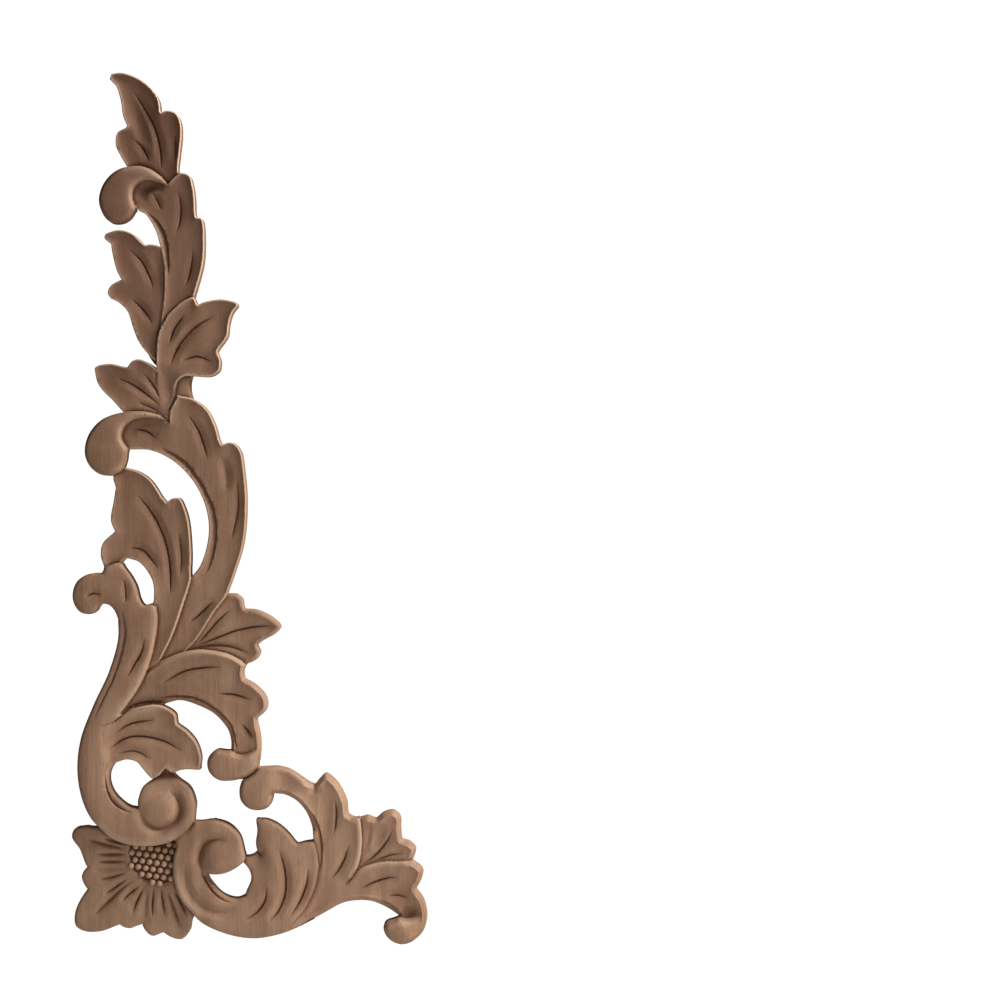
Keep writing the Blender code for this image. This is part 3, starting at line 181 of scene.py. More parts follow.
# %% The climbing leaves
def upper_scrolls():
    """The leaves of the climbing scroll, from the back to the front."""
    yield leaf(
        "upper stem",
        [
            [-3.2, 177.2, -1.2, 174, 0.4, 172.6],
            [-2, 166, -2, 158, 4, 152],
            [11, 155, 12.7, 161.2],
            [12, 165, 12.2, 169.6],
            [14, 178, 12, 188, 6, 192],
            [1, 190, -1, 183, -3.2, 177.2],
        ],
        [4, 156, LOW, 6, 190, LOW],
        bulge=0.6,
    )
    yield leaf(
        "tip leaf",
        [
            [-15.6, 273.2, -12, 273.7, -5.6, 271.4, -0.8, 267.2, 1.4, 263, 1.2, 260.6],
            [3.2, 260.8, 6.3, 260.1, 8.4, 257, 9, 252.5, 8.5, 246.5, 7.7, 239.8],
            [6, 234, 2, 229],
            [-4, 228, -9, 234, -10.4, 241.7],
            [-12.7, 245.6, -14.2, 249.3, -13.5, 253.2, -10.8, 254.8],
            [-10.2, 255.7],
            [-11.6, 259, -12.3, 264, -13.9, 269, -16.2, 271.9],
            [-15.6, 273.2],
        ],
        [2, 236, LOW, 2, 252, LOW + 0.6, -6, 266, LOW + 0.6, -13, 249, LOW, -15, 272, LOW + 1],
        [
            ("V", -8.4, 267.6, -4.8, 262, -1.9, 257, 0.6, 248.6, 1.1, 241),
            ("V", -8.6, 251, -5.5, 248.6, -3.1, 243.4),
            ("v", 5.6, 253, 6.1, 248, 5.8, 243.5),
            ("gouge", -9.5, 266, -7.5, 260, -5, 253, -3, 246),
        ],
        bulge=-1.0,
    )
    yield leaf(
        "left leaf",
        [
            [-17.5, 218.2, -13, 219.6, -8.3, 218.4, -4.2, 214.6],
            [-2.3, 214.7, 0.2, 214.3, 1.7, 213.2],
            [5, 205, 5, 196, 5, 188, 4, 178, 1.6, 173.6],
            [-1.3, 175.3],
            [-3.4, 177.5, -6.3, 181.6, -8.2, 186.5, -9.9, 191.5, -12.8, 194.5, -15.9, 196.3],
            [-16.8, 198, -15.7, 200.4, -12, 202.6],
            [-13.6, 205.6, -14.9, 210.5, -15.8, 215.1],
            [-17.2, 216.1, -18, 217.3, -17.5, 218.2],
        ],
        [1, 176, LEAF - 0.3, -2, 192, LEAF - 0.2, -5, 206, LEAF, -16, 217, LEAF - 0.3]
        + [-14, 198, LEAF - 0.4, 1, 206, LEAF - 0.7],
        [
            ("V", -10, 213.2, -5.5, 209, -2.6, 203, -1.5, 199),
            ("V", -9.3, 196.3, -4.6, 192, -1.8, 187.2),
        ],
        bulge=-0.7,
    )
    yield leaf(
        "second leaf",
        [
            [5.5, 237.9, 7.7, 239.5],
            [9.4, 239.3, 11.4, 238.3, 12.9, 234.5, 13.6, 229.5, 13.6, 224.5],
            [15.4, 223.9, 16.5, 221.3, 16.9, 215, 16.5, 208, 14.5, 200, 11.5, 191],
            [9, 180, 6, 162],
            [3, 158, 0.6, 166, 0.3, 176, 1.2, 188, 2.3, 198, 2.4, 206, 1.3, 213.6],
            [0.2, 218.2, -2, 222.6, -4.3, 225.4, -6.9, 226.8],
            [-10, 230, -10, 236, -4.5, 239.3, 1, 237.2, 3.4, 235.6],
        ],
        [4, 162, LOW, 6, 190, LEAF - 0.2, 8, 210, LEAF, 8, 230, LEAF - 0.5, 4, 238, LOW + 0.8],
        [
            ("ledge", -4.1, 226.2, 0.4, 222.2, 2.8, 217.1, 3.7, 211.2, 3.6, 204),
            ("v", 6.9, 233.4, 7.9, 228, 7.6, 223, 6.2, 218.4),
            ("v", -2.2, 232.8, -0.6, 230.8, 1.3, 226.5),
            ("v", 12.3, 213, 11.2, 205.5, 9.5, 200.5),
            ("cove", -6, 229.5, -5, 233.5, -1.5, 235.5, 2.5, 234.6),
        ],
        bulge=-0.8,
    )
    yield leaf(
        "lower left leaf",
        [
            [-20, 173, -16, 173.6, -10.2, 172.3],
            [-8.4, 174.4, -6.2, 175.1, -2.1, 173.6, 1, 171],
            [4, 166, 4, 156, 0, 150, -8, 150],
            [-11.6, 157.2],
            [-14.8, 160.8, -18.7, 164.7, -20.4, 167.5, -21.3, 172.1],
            [-20, 173],
        ],
        [3, 157, LEAF - 0.4, -6, 166, LEAF + 0.3, -19, 172, LEAF - 0.4],
        [
            ("V", -14.5, 169, -8, 166.2, -1.8, 161.5, 0.8, 159),
            ("V", -5, 170.5, -1.5, 166.3, 1, 161),
            ("v", -7, 160.4, -2, 158.5, 0.8, 156.8),
        ],
        bulge=-0.7,
        fade=((4.5, 165, -1.5, 163.5),),
    )
    yield leaf(
        "right leaf",
        [
            [3.7, 190.6, 8.3, 194.8, 11.9, 196.7],
            [13, 196.4, 14, 194],
            [17, 194.9, 22, 195.7, 27.4, 194.9],
            [28.2, 193.6, 26.4, 190.5, 25.4, 187, 24.8, 182.8, 21.3, 177.8],
            [22.4, 174.5, 21.9, 171, 19, 169.1, 12.5, 169.4, 9.7, 169.6, 7.4, 168.3, 6, 166, 5.4, 163]
            + [4.7, 159.2, 4, 155],
            [0.5, 160, -0.2, 172, 0.4, 184, 3.7, 190.6],
        ],
        [3, 160, LOW + 0.8, 4, 175, LEAF + 0.6, 12, 184, FORE, 25, 192, LEAF + 0.4, 20, 172, LEAF],
        [
            ("V", 9.3, 190.8, 5.5, 185, 4, 180.5),
            ("V", 19.8, 190.3, 14, 187, 8.5, 181.5, 5.2, 175.5, 4.6, 172.8),
            ("V", 19, 174.3, 13.5, 176.2, 8, 174.5),
        ],
        bulge=-0.8,
        fade=((-2, 162, 3.5, 174),),
    )
    yield leaf(
        "upper curl",
        [
            [3, 236.1, 0, 239.2, -5.3, 241.7, -10, 241.4, -15.1, 238.8, -18.6, 234.1, -19.5, 228.6]
            + [-16.3, 222.5, -11.8, 221.7, -8.4, 223.7, -7.2, 226.8],
            [-8.6, 231, -7.7, 234.7, -4.1, 236.9, 0.3, 236.4, 3.3, 235.3],
            [3, 236.1],
        ],
        [3, 236, LEAF, -5, 239.5, FORE, -14, 232, CREST - 0.6, -13.5, 228, CREST - 0.4],
        bulge=0.6,
        reach=5.5,
        rim=0.8,
        drop=0.9,
    )

# %% [markdown]
# ## The corner
# The rosette has four petals with a seed head in the middle. The second scroll starts over it and opens
# into a fan, whose arch ends in a ball at the left and a roll at the right.

# %% Rosette, second scroll and fan
def corner():
    """The corner rosette, the second scroll and the fan with its arch, from the back to the front."""
    yield leaf(
        "rosette",
        [
            [-24.4, 14.9, -28.4, 13.5, -29.3, 10.6, -26.5, 6.4, -25.2, 3, -24.1, 0],
            [-25.3, -1.3, -25.9, -3.2, -25.2, -5.3, -24, -7.5],
            [-26.2, -10.5, -28.3, -15.8, -27.9, -20, -24.7, -21.8, -19.1, -21.7, -13.1, -19.4],
            [-11.4, -20.3, -9.6, -20.7, -7.4, -20, -5.2, -19.2],
            [-3.9, -21.6, -1.8, -23.3, 2, -22.1],
            [5.2, -23.9, 8.2, -24.5, 11.2, -21.9, 12.1, -18.6, 12.9, -16.3],
            [16, -12, 13, 0],
            [10, 12, 0, 14, -12, 17],
            [-20.8, 14.6, -24.4, 14.9],
        ],
        [0.5, 4.8, ROSETTE + 0.3, -10, -4, ROSETTE - 0.2, -26, 12, LOW - 0.7, -26, -18, LOW - 0.8]
        + [8, -22, LOW - 0.5, -24, -3, LOW - 0.4, -1, -21, LOW - 0.4, -12, 4, LOW + 0.2, -2, -8, LOW + 0.2],
        [
            ("flute", -24.8, 9.9, -20.8, 8.6, -17, 7.6, -10.6, 6.4),
            ("flute", -19, 10.2, -16.2, 9.3, -10.6, 8),
            ("flute", -21.4, 4.6, -17, 4.5, -10.4, 4.7),
            ("flute", -21.4, 2, -17, 1.9, -10.2, 2.1),
            ("soft", -23, -0.6, -17.5, -0.7, -11.5, -0.2),
            ("flute", -20.8, -4.2, -17.2, -3.8, -10.6, -1.6),
            ("V", -18.6, -9.4, -15.6, -7.6, -10.4, -3.8),
            ("flute", -22.6, -17, -16.6, -11.4, -12.4, -7.4, -8.4, -4.4),
            ("V", -12.6, -12, -10.2, -9.6, -6.2, -6.2),
            ("V", -8.8, -16, -7.4, -12.3, -4.8, -6.8),
            ("soft", -4.6, -19, -4.2, -12, -3.2, -6.5),
            ("V", -1.9, -17.4, -1.9, -13.7, -1.4, -6.8),
            ("V", 2.4, -17, 1.9, -13, 1, -6.8),
            ("flute", 7.9, -21.4, 5.7, -15.2, 2.9, -7),
            ("V", 10.2, -17.4, 8.4, -13.4, 5.4, -7.6),
        ],
        bulge=0.4,
    )
    yield leaf(
        "seed head",
        [[10.8, 4.8], [9.4, -0.4, 5.6, -4.1, 0.5, -5.5, -4.6, -4.1, -8.4, -0.4], [-9.8, 4.8]]
        + [[-8, 11, 0.5, 15.1, 9, 11, 10.8, 4.8]],
        [0.5, 8.5, ROSETTE - 0.6, 0.5, 1, ROSETTE + 1, 0.5, -5, ROSETTE + 0.6, -9, 3, ROSETTE + 0.6],
        rim=0.4,
        drop=0.0,
    )
    yield leaf(
        "second scroll's stem and leaves",
        [
            [6.7, 8.2, 5.6, 3, 5.6, -3, 8, -10.5, 12.9, -16.3],
            [17.6, -19.6, 26, -22.8, 34, -23.8, 42, -22.5, 48, -20.3, 54, -17.4],
            [60, -10, 60, 0, 57, 8],
            [53.9, 9.7],
            [51, 9.6, 48.3, 8.9],
            [46.2, 11.8, 42, 15.6, 37.5, 17.4, 34, 16.9],
            [34.7, 13.5, 34.2, 9, 34.4, 5.9],
            [32.5, 4.8, 30.5, 4.3],
            [28.5, 4.5],
            [29.9, 2.2],
            [32, -0.5, 32.6, -3.5, 30, -9.2],
            [27, -9.7, 22.7, -8, 17.2, -1.8],
            [20.5, -1.9],
            [22, 8, 20, 17.2],
            [16, 16.7, 12.9, 16.2],
            [11.5, 16.3, 7.5, 13, 5.5, 10.5],
        ],
        [8, 4, FORE, 8, -6, FORE, 15, -14, FORE - 0.2, 28, -19, FORE - 0.4, 44, -19, LEAF + 0.4]
        + [34, -7, LEAF + 0.4, 33, 4, LEAF - 0.5, 40, -8, LEAF + 0.5, 40, 6, LEAF + 0.6]
        + [37, 15, LEAF, 49, -8, LEAF + 0.4, 51, 8, LEAF - 0.4],
        [
            ("V", 37.8, -6, 37, -11.5, 34.4, -15.2, 29.8, -18.1),
            ("V", 42, 6.5, 44, -1, 44.2, -8, 42.2, -14, 38.3, -18.8),
            ("V", 52, 0, 51.3, -6, 48.9, -12, 45.4, -17),
            ("V", 34.3, 5.9, 35.2, 4.8, 36.3, 4),
            ("step", 25.6, -12, 22.2, -10.8, 19.2, -8.4, 16.9, -4.9, 15.2, -1, 14.9, 3),
            ("soft", 9.6, 2, 9.9, -5, 12.6, -10.6, 17.2, -14.2, 22.6, -15.2, 27.5, -13.4),
        ],
        bulge=0.5,
    )
    yield leaf(
        "fan's right lobes",
        [
            [70, 17.6],
            [72.5, 18.5, 75.3, 17.4],
            [78, 19.5, 81.5, 20.3, 84, 18, 84.2, 13.5, 84.8, 10.1],
            [87.2, 9.5, 89.3, 6.8, 88, 2.6],
            [80, -5, 70, -6, 64, -4],
            [64, 6, 66, 15.5],
        ],
        [72, 12, LEAF - 1, 81, 15, LEAF - 0.2, 87, 7, LEAF - 0.4, 72, 0, LEAF - 1, 78, 5, LEAF - 0.6],
        [
            ("soft", 72.9, 15.3, 72.9, 10.6, 71.8, 6.8, 70.5, 3.6),
            ("V", 81.1, 13.4, 79.1, 9.2, 76.2, 5.4, 73, 2.5, 69.9, 0.1),
            ("v", 84.8, 4.9, 80.4, 4.3, 76.7, 2.9, 73.2, 1.6),
            ("gouge", 77, 15, 76, 10, 74, 5),
        ],
        rim=1.6,
        drop=1.8,
        bulge=-0.5,
    )
    yield leaf(
        "fan and arch",
        [
            [37.3, 34.7, 40.2, 35.4, 43, 35.2, 46, 34.3, 54, 29],
            [55.8, 30.8, 58.1, 32.9, 62, 30.3, 65.4, 24, 66.2, 18.8],
            [68, 17.9, 69.8, 17.8],
            [70.4, 9.8, 69.9, 3.8, 68.9, 0.2, 67.2, -2.8],
            [70.1, -0.3, 73.9, 1.2, 78.5, 2.1, 83.1, 2.1, 88, 2.6],
            [90.5, 1.4, 91.8, -1, 90.6, -4.8, 89.5, -7.2],
            [91.5, -9.4, 92.8, -13, 93, -17.5, 91.4, -21.9, 88.4, -24.8],
            [84, -24, 82, -20, 83.2, -16.4],
            [81.5, -14.9, 78, -12.8, 74, -11.2, 69, -10.9, 64, -11.8, 58, -15, 51, -18.8],
            [44, -21.6],
            [46.9, -18.7, 51, -14, 54.4, -6.5, 55.8, 0.5],
            [55.1, 5, 53.9, 9.8],
            [53.5, 14.3, 51.5, 19.5, 48, 23.6, 44, 25.6, 40.2, 25.9],
            [36, 24, 31.5, 25.5],
            [31.2, 29.5, 32.3, 32.3, 34.6, 34.5],
        ],
        [34, 28, FORE, 41, 31, FORE + 0.3, 48, 29.5, FORE + 0.3, 54, 24, LEAF + 0.6, 60, 8, LEAF]
        + [60, 28, LEAF + 0.3, 60, -8, LEAF + 0.3, 50, -18, LEAF + 0.4, 72, -4, LEAF + 0.3, 80, 0, LEAF + 0.4]
        + [90, -2, LEAF, 86, -15, LEAF - 0.6, 90, -12, LEAF, 91, -20, LEAF + 0.4],
        [
            ("ledge", 49.4, 22.9, 52.9, 19.2, 55.4, 14.5, 56.6, 8.5, 56.6, 2.6, 55.8, -1.4),
            ("V", 61, 24.1, 61.7, 19.4, 61.4, 14.8, 60.5, 10.8),
            ("V", 65.8, 8, 64.6, 3.4, 62.3, -0.9, 59.5, -4.1),
            ("V", 83.1, -3.2, 79.4, -3.5, 75.2, -4.8, 69.8, -7.3),
            ("v", 79.2, -9.9, 82.7, -9.5, 86.6, -10.5),
            ("ledge", 76.5, -11, 80.4, -12.6, 83.9, -15.3),
            ("gouge", 58.4, 26, 58.6, 18, 58.2, 9),
            ("soft", 54, 28.6, 54.4, 25),
            ("v", 68.8, -0.8, 66.9, -3.6, 64.2, -6.4),
            ("cove", 89.8, -14, 86.6, -15.7, 83, -16.4),
        ],
        rim=1.6,
        drop=1.8,
        bulge=-0.5,
        fade=((43, -23, 50, -17),),
        thin=(
            [69.8, 16, 70.4, 9.8, 69.9, 3.8, 68.9, 0.2, 67.2, -2.8, 70.1, -0.3, 73.9, 1.2, 83.1, 2.1],
            [46.9, -18.7, 51, -14, 54.4, -6.5, 55.8, 0.5, 55.1, 5, 53.9, 9.8],
            [34.6, 34.5, 40.2, 35.4, 46, 34.3, 50, 32.2],
        ),
    )
    yield leaf(
        "fan's roll",
        [
            [85.4, -17.4, 88, -17.1, 90.6, -15.9, 92.5, -15.2],
            [92.4, -18.2, 90.8, -21.8, 87.9, -24.9, 83.8, -25.8, 79.6, -23.6, 78, -19.8]
            + [79.2, -17.9, 81.1, -17.1, 83.2, -16.7],
        ],
        [84, -21.5, CREST - 0.3, 89, -20, FORE + 0.2, 92, -17, LEAF],
        bulge=0.9,
        reach=5,
        rim=1.5,
        drop=1.4,
        fade=((92.5, -16.5, 84.5, -19.5),),
    )
    yield leaf(
        "arch's ball",
        [
            [32.3, 33.6, 34.6, 34.6, 37.3, 35.2, 40.2, 35.3, 44, 34.2],
            [45, 30, 44, 26.2],
            [42, 26.2, 40.2, 25.9],
            [39.8, 23.2, 38.3, 21.1, 35, 20.2, 31.7, 20.9, 29.2, 23.4, 28.6, 27, 29.1, 29.7],
            [30.3, 31.8],
        ],
        [34, 26, CREST - 0.7, 40, 31, FORE + 0.3, 46, 30, FORE + 0.3],
        bulge=0.8,
        reach=5,
        rim=1.2,
        drop=1.2,
        fade=((44.8, 29, 37, 30.5),),
        thin=([36, 35, 38, 35.3, 40.2, 35.3, 44, 34.2],),
    )

# %% [markdown]
# ## The leaves beside the main stem
# A broad leaf swings up into the big curl. An inner leaf, a leaf at the right and the long leaf with its
# rolled end fill the bend of the L.

# %% Leaves of the main scroll
def main_scrolls():
    """The broad leaf with its curl, and the leaves beside the main stem."""
    yield leaf(
        "right hand leaf",
        [
            [27.1, 94.8, 29.6, 93.1, 30.3, 89.6],
            [34.5, 89.1, 39.1, 87.1, 42.3, 84.6],
            [42.8, 83, 40.6, 80.6, 36.6, 78.3, 34.8, 76.6],
            [35.9, 74.6, 34.5, 72, 31, 70.2],
            [27, 66, 18, 66, 8, 68],
            [4, 72, 8, 80, 16, 90, 22, 94.4],
            [27.1, 94.8],
        ],
        [9, 74, LOW, 20, 80, LOW + 0.6, 38, 84, LOW + 0.8, 30, 73, LOW + 0.4, 27, 92, LOW + 0.3],
        [
            ("V", 25.4, 89.4, 20.6, 84.9, 16.6, 80.3, 12.6, 76),
            ("V", 39.8, 83.5, 33.5, 83, 26.8, 81.6, 20, 79, 12.5, 76),
            ("flute", 10.5, 74.8, 17, 76.4, 25, 76.2, 32, 73.4),
        ],
        rim=1.2,
        bulge=-0.7,
    )
    yield leaf(
        "broad leaf",
        [
            [4.3, 157.5, 6.9, 162.7],
            [12.5, 161.5, 17.4, 158.1, 20.5, 152.5, 22.3, 146],
            [26, 146.5, 29, 144.1, 30.6, 136, 31.3, 125, 30.3, 112.3, 27.8, 103.5, 24.2, 94.5]
            + [19.7, 88.5, 13, 78.3, 9.6, 74.6],
            [3, 67, -5, 68],
            [-3, 80, 3, 91, 8, 98, 11.8, 100.3],
            [14.8, 103.7, 17.5, 111.5, 18, 119, 15.9, 127.4, 11.3, 135, 5, 140.7, -2, 143.8, -10, 144.2],
            [-14, 147, -13, 153, -6, 156.3, 1, 155.2],
            [4, 153.6],
            [4.3, 157.5],
        ],
        [-8, 149, LEAF - 1, 8, 150, LEAF, 22, 138, FORE - 0.6, 25, 120, FORE - 0.6, 22, 100, LEAF]
        + [8, 76, LOW + 0.4],
        [
            ("ledge", 1, 144.8, 9, 140.3, 16, 131, 20, 120, 19.3, 108, 16.5, 101),
            ("V", -9.5, 151.3, -4, 150.5, -0.3, 147.7),
            ("V", 10.3, 156.3, 14.3, 150.2, 17.3, 140.5),
            ("v", 27.3, 134, 27.8, 124, 25.3, 112.5),
            ("V", 19.4, 92.3, 14.2, 87.1, 10.3, 84.2),
            ("soft", 21.9, 142.2, 23.5, 137, 24, 129),
            ("gouge", -9.5, 147.5, -8, 152, -3, 153.6, 2, 152.6),
        ],
        bulge=-0.8,
    )
    yield leaf(
        "inner leaf",
        [
            [-11, 137.9, -6.2, 136.7, -1.7, 133.7, 3.4, 126.1],
            [5.2, 127.2, 8, 127.4, 10.8, 122.2, 12.2, 112, 12, 101.7, 9, 91.3, 5, 79.9, 1.3, 72.4],
            [-3, 66],
            [-6, 72, -4, 84, -3.2, 90.8],
            [-1.3, 91.3, -0.7, 94.5, -1.2, 98.8, -3.3, 102.7, -6.4, 105.7, -10.8, 106.7],
            [-13.5, 103, -14, 98, -18, 100.5, -18, 104],
            [-19.1, 107.8, -18.4, 111.8, -14.2, 115.9],
            [-15.6, 119.8, -14.7, 126, -13.9, 131],
            [-15, 135.6, -13, 138.6],
            [-11, 137.9],
        ],
        [-1, 70, LEAF, 4, 95, FORE - 0.3, 3, 112, FORE - 0.3, -8, 130, LEAF, -15, 108, LEAF],
        [
            ("V", -7, 128.5, -2, 122.3, 2, 114.5, 4.2, 105, 4.5, 94),
            ("v", 7.3, 116, 8.3, 107, 7.8, 100.5),
            ("V", -10.5, 110.2, -5.3, 109.6, 0.3, 103),
        ],
        bulge=-0.7,
    )
    yield leaf(
        "big curl",
        [
            [0.6, 156.1, -5.4, 157.3, -12, 156.8, -18.9, 154.1, -23.2, 148.9, -24.4, 143, -22.9, 138.7]
            + [-19.6, 135.8, -15.8, 135.1, -11.8, 137.2, -9.9, 140.4, -9.9, 144],
            [-12.4, 148.3, -11, 152.4, -6.5, 155, -0.6, 155, 3.9, 153.7],
            [0.6, 156.1],
        ],
        [3, 154, LEAF, -8, 156, FORE, -17, 148, CREST - 0.4, -17, 142, CREST - 0.1],
        bulge=0.6,
        reach=6,
        rim=0.8,
        drop=0.9,
    )
    yield leaf(
        "long leaf",
        [
            [0.7, 71, 7.5, 73.9, 15.1, 75.1, 24.6, 73.5, 30.8, 70.1],
            [30.2, 67.5, 30.5, 65.5],
            [34.2, 63.4, 38, 59, 38, 55, 34.6, 51.3],
            [35.8, 46.5, 36, 40.5, 34.9, 34.6],
            [31, 31, 26, 31, 21, 33, 21, 38, 25.5, 40.8],
            [25.7, 43.5, 24.6, 47.8, 20, 53.2, 14, 56.3, 8, 57.9, 2.6, 56.6],
            [-4, 50, -17, 49],
            [-13, 58, -7, 66],
            [-4.4, 67.3],
            [0.7, 71],
        ],
        [-7, 60, LEAF - 1, 8, 66, LEAF + 0.4, 24, 66, FORE - 0.2, 32, 56, FORE - 0.1, 30, 44, LEAF + 0.4],
        [
            ("V", 1, 63.1, 9.6, 67.8, 17.6, 69.1, 22.2, 69.2),
            ("V", 20.3, 59.9, 26.5, 59.7, 32.6, 57.7),
            ("ledge", -0.6, 58.3, 5.3, 59.2, 13.3, 58.5, 20, 54.8, 25.2, 49.5, 27, 43, 27.3, 40),
            ("V", 28.9, 49.6, 31, 47.4, 32.8, 44.5),
            ("V", 5, 56.8, -2, 57.2, -8.6, 55.8, -12.7, 52.7),
        ],
        rim=1.1,
        drop=1.3,
        bulge=-0.7,
    )
    yield leaf(
        "long leaf's roll",
        [
            [27.2, 39.4, 29.6, 39, 32, 40, 34, 41.6, 36, 42.6],
            [35.8, 38.4, 34.9, 34.6],
            [33.2, 32.8, 31.2, 31.5, 29, 30.9],
            [26, 30.4, 21.5, 30.6, 18.2, 33.5, 17.7, 37.6, 20.5, 41, 25.5, 40.8],
            [27.2, 39.4],
        ],
        [23, 36, CREST - 0.4, 30, 36, CREST - 0.7, 34, 38, FORE],
        bulge=0.9,
        reach=5,
        rim=1.2,
        drop=1.3,
        fade=((36.5, 41, 31.5, 38.5),),
    )

# %% [markdown]
# ## The stems in front
# The main stem rises from its volute at the rosette. It is the highest part of the carving, and it covers
# the feet of most leaves, so it is drawn last, with the two lobed leaf that grows from it.

# %% Main stem and volutes
def stems():
    """The second scroll's volute, the main stem with its own, and the leaf that leaves it."""
    yield leaf(
        "second volute",
        [
            [16, 16.7, 20, 17.2, 25, 15.8, 28.8, 12, 30.2, 7.5, 30.5, 4.3],
            [29.9, 2.2],
            [26.5, -0.1, 22.5, -1.6, 17.2, -1.8],
            [14, -4.5, 9, -4, 8, 4, 10, 12],
            [12.9, 16.2],
            [16, 16.7],
        ],
        [14, 13, FORE + 0.2, 22, 4, CREST, 26, 12, FORE + 0.4, 9, 3, FORE, 15, -2, FORE],
        [
            ("spiral", 24, 9.6, 19.5, 9.8, 15.8, 7.6, 14.5, 3.5, 15.2, 0, 15.7, -2.6),
        ],
        bulge=0.5,
        fade=((9, 0, 13.5, 0), (15.5, -4, 16.5, 0.5)),
    )
    yield leaf(
        "main stem",
        [
            [-14.4, 105, -11.9, 105.1],
            [-9.1, 101.9, -6.5, 97.4, -5.3, 93, -4.3, 91.1, -2, 90.9, -0.4, 90.1],
            [0.1, 85.7, -0.6, 79.5, -2.5, 71.3, -6.5, 62.1, -12.7, 53.1],
            [-8, 47, -5, 40, -7, 36.9],
            [-10.2, 37.6, -13.9, 36.4, -15.8, 32, -14.5, 27, -10.5, 22.8, -6.7, 21],
            [-6, 24.4, -4.6, 28.2, -1.5, 30.7],
            [2.6, 33.9, 5.8, 32.6, 8.4, 31, 11.9, 28.2, 13.8, 23, 13.4, 18.5, 12.9, 16.2],
            [9.4, 12.2, 4.8, 9.2, -1, 7.8, -8.9, 8, -15.5, 10.3, -20.8, 15.4, -24.9, 22.8]
            + [-26.9, 33, -25.9, 44.2, -21.6, 55.9, -16.2, 67.6, -13, 79, -13, 86],
            [-14.3, 88.9, -16.4, 90.8, -19, 90.6, -20.5, 88.4],
            [-22.6, 87.5, -26.4, 88.6, -28.6, 93, -27.4, 98.3, -23.6, 101.2, -18.8, 101.7],
            [-17.6, 103.5, -14.4, 105],
        ],
        [-24, 94, FORE, -14, 98, FORE, -9, 85, FORE + 0.2, -8, 72, FORE + 0.4, -18, 55, FORE + 0.4]
        + [-22, 38, FORE + 0.4, -18, 20, FORE + 0.4, -3, 11, FORE + 0.6, 11, 20, FORE + 0.6]
        + [1, 20.5, CREST + 0.3, 3.4, 32.6, LEAF - 0.8, -1, 31, LEAF, 7.4, 31.4, LEAF + 0.2],
        [
            ("crease", -12.2, 88.8, -10.9, 82, -11.9, 75, -14.8, 65.8, -18.6, 57.9, -21.8, 51.2),
            ("step", -8.4, 19, -12, 20.3, -15.2, 22.7, -17.2, 26.9, -17.9, 32.4),
            # painted shadow of the two lobed leaf on the volute's top
            ("undercut", -3.6, 29.8, 0, 31.6, 3.2, 32.5, 6.6, 31.2, 9, 29.6),
            ("V", -4.2, 79.4, -5.3, 74.4, -7.9, 69.8, -10.6, 65.3),
            ("v", -24.7, 93.1, -22.2, 94.5, -19.1, 94.1),
            ("v", -11.5, 99.6, -10.7, 95.4, -10.9, 91.2),
            ("spiral", 3.8, 26.8, 7.1, 23.6, 8, 20.1, 5.9, 15.9, 1, 13.6, -3.3, 15.4, -5.6, 19, -6.2, 21),
        ],
        bulge=0.6,
        reach=5,
        rim=0.6,
        drop=0.5,
    )
    yield leaf(
        "two lobed leaf",
        [
            [-9.6, 54.5, -2.2, 56.1, 4.2, 55.5, 7, 53.3, 7.5, 50.1],
            [11, 47.6, 14.2, 43.6, 15.7, 38, 14.8, 33.8],
            [11.6, 34.3, 7.9, 33.9, 6.2, 33],
            [4.7, 33.2, 3, 34.3],
            [1.9, 33.4, 0.6, 31.9, -1.6, 31],
            [-4.4, 34.5, -6.7, 37, -10.2, 37.7, -13.9, 36.5],
            [-19, 33, -24, 40, -21, 48],
            [-14.8, 50.5],
            [-9.6, 54.5],
        ],
        [-20, 42, FORE + 0.5, -8, 47, FORE + 0.8, 6, 46, FORE + 0.8, 13, 37, LEAF + 0.8, 0, 34, FORE + 0.7]
        + [4.5, 35.5, FORE + 0.7],
        [
            ("V", -14.8, 46.2, -9.3, 49.6, -0.4, 51.2),
            ("V", -17.6, 40.4, -9.3, 45.2, 1.5, 44.1, 8.8, 40.2),
            ("v", -14.2, 39.3, -7.7, 40.3, -1.9, 37.4),
            ("V", -6, 56, -9.6, 54.6, -13, 52, -16.4, 48.6),
        ],
        bulge=-0.6,
        fade=((-21, 44, -13, 44), (-17.5, 33, -13.5, 35)),
    )

# %% [markdown]
# ## From drawing to depth
# A relief seen from the front is a height for each point of the plane. Each leaf gives its own height:
# a smooth ground through a few spot heights, a rounded edge, a swell or a hollow in the middle, and the
# tool cuts. Laid one over another in order, the leaf in front hides what is behind it.

# %% Distances
def from_segments(loop, p):
    """Signed distance of points p from a closed loop, positive inside."""
    out = np.empty(len(p))
    a, b = loop, np.roll(loop, -1, axis=0)
    ab = b - a
    square = np.maximum((ab**2).sum(1), 1e-12)
    for first in range(0, len(p), 4000):
        q = p[first : first + 4000]
        ap = q[:, None] - a
        t = np.clip((ap * ab).sum(2) / square, 0, 1)
        near = np.sqrt(((ap - t[..., None] * ab) ** 2).sum(2).min(1))
        cross = (a[:, 1] > q[:, 1:]) != (b[:, 1] > q[:, 1:])
        with np.errstate(divide="ignore", invalid="ignore"):
            at = a[:, 0] + (q[:, 1:] - a[:, 1]) * ab[:, 0] / ab[:, 1]
        inside = (cross & (q[:, :1] < at)).sum(1) % 2 == 1
        out[first : first + 4000] = np.where(inside, near, -near)
    return out


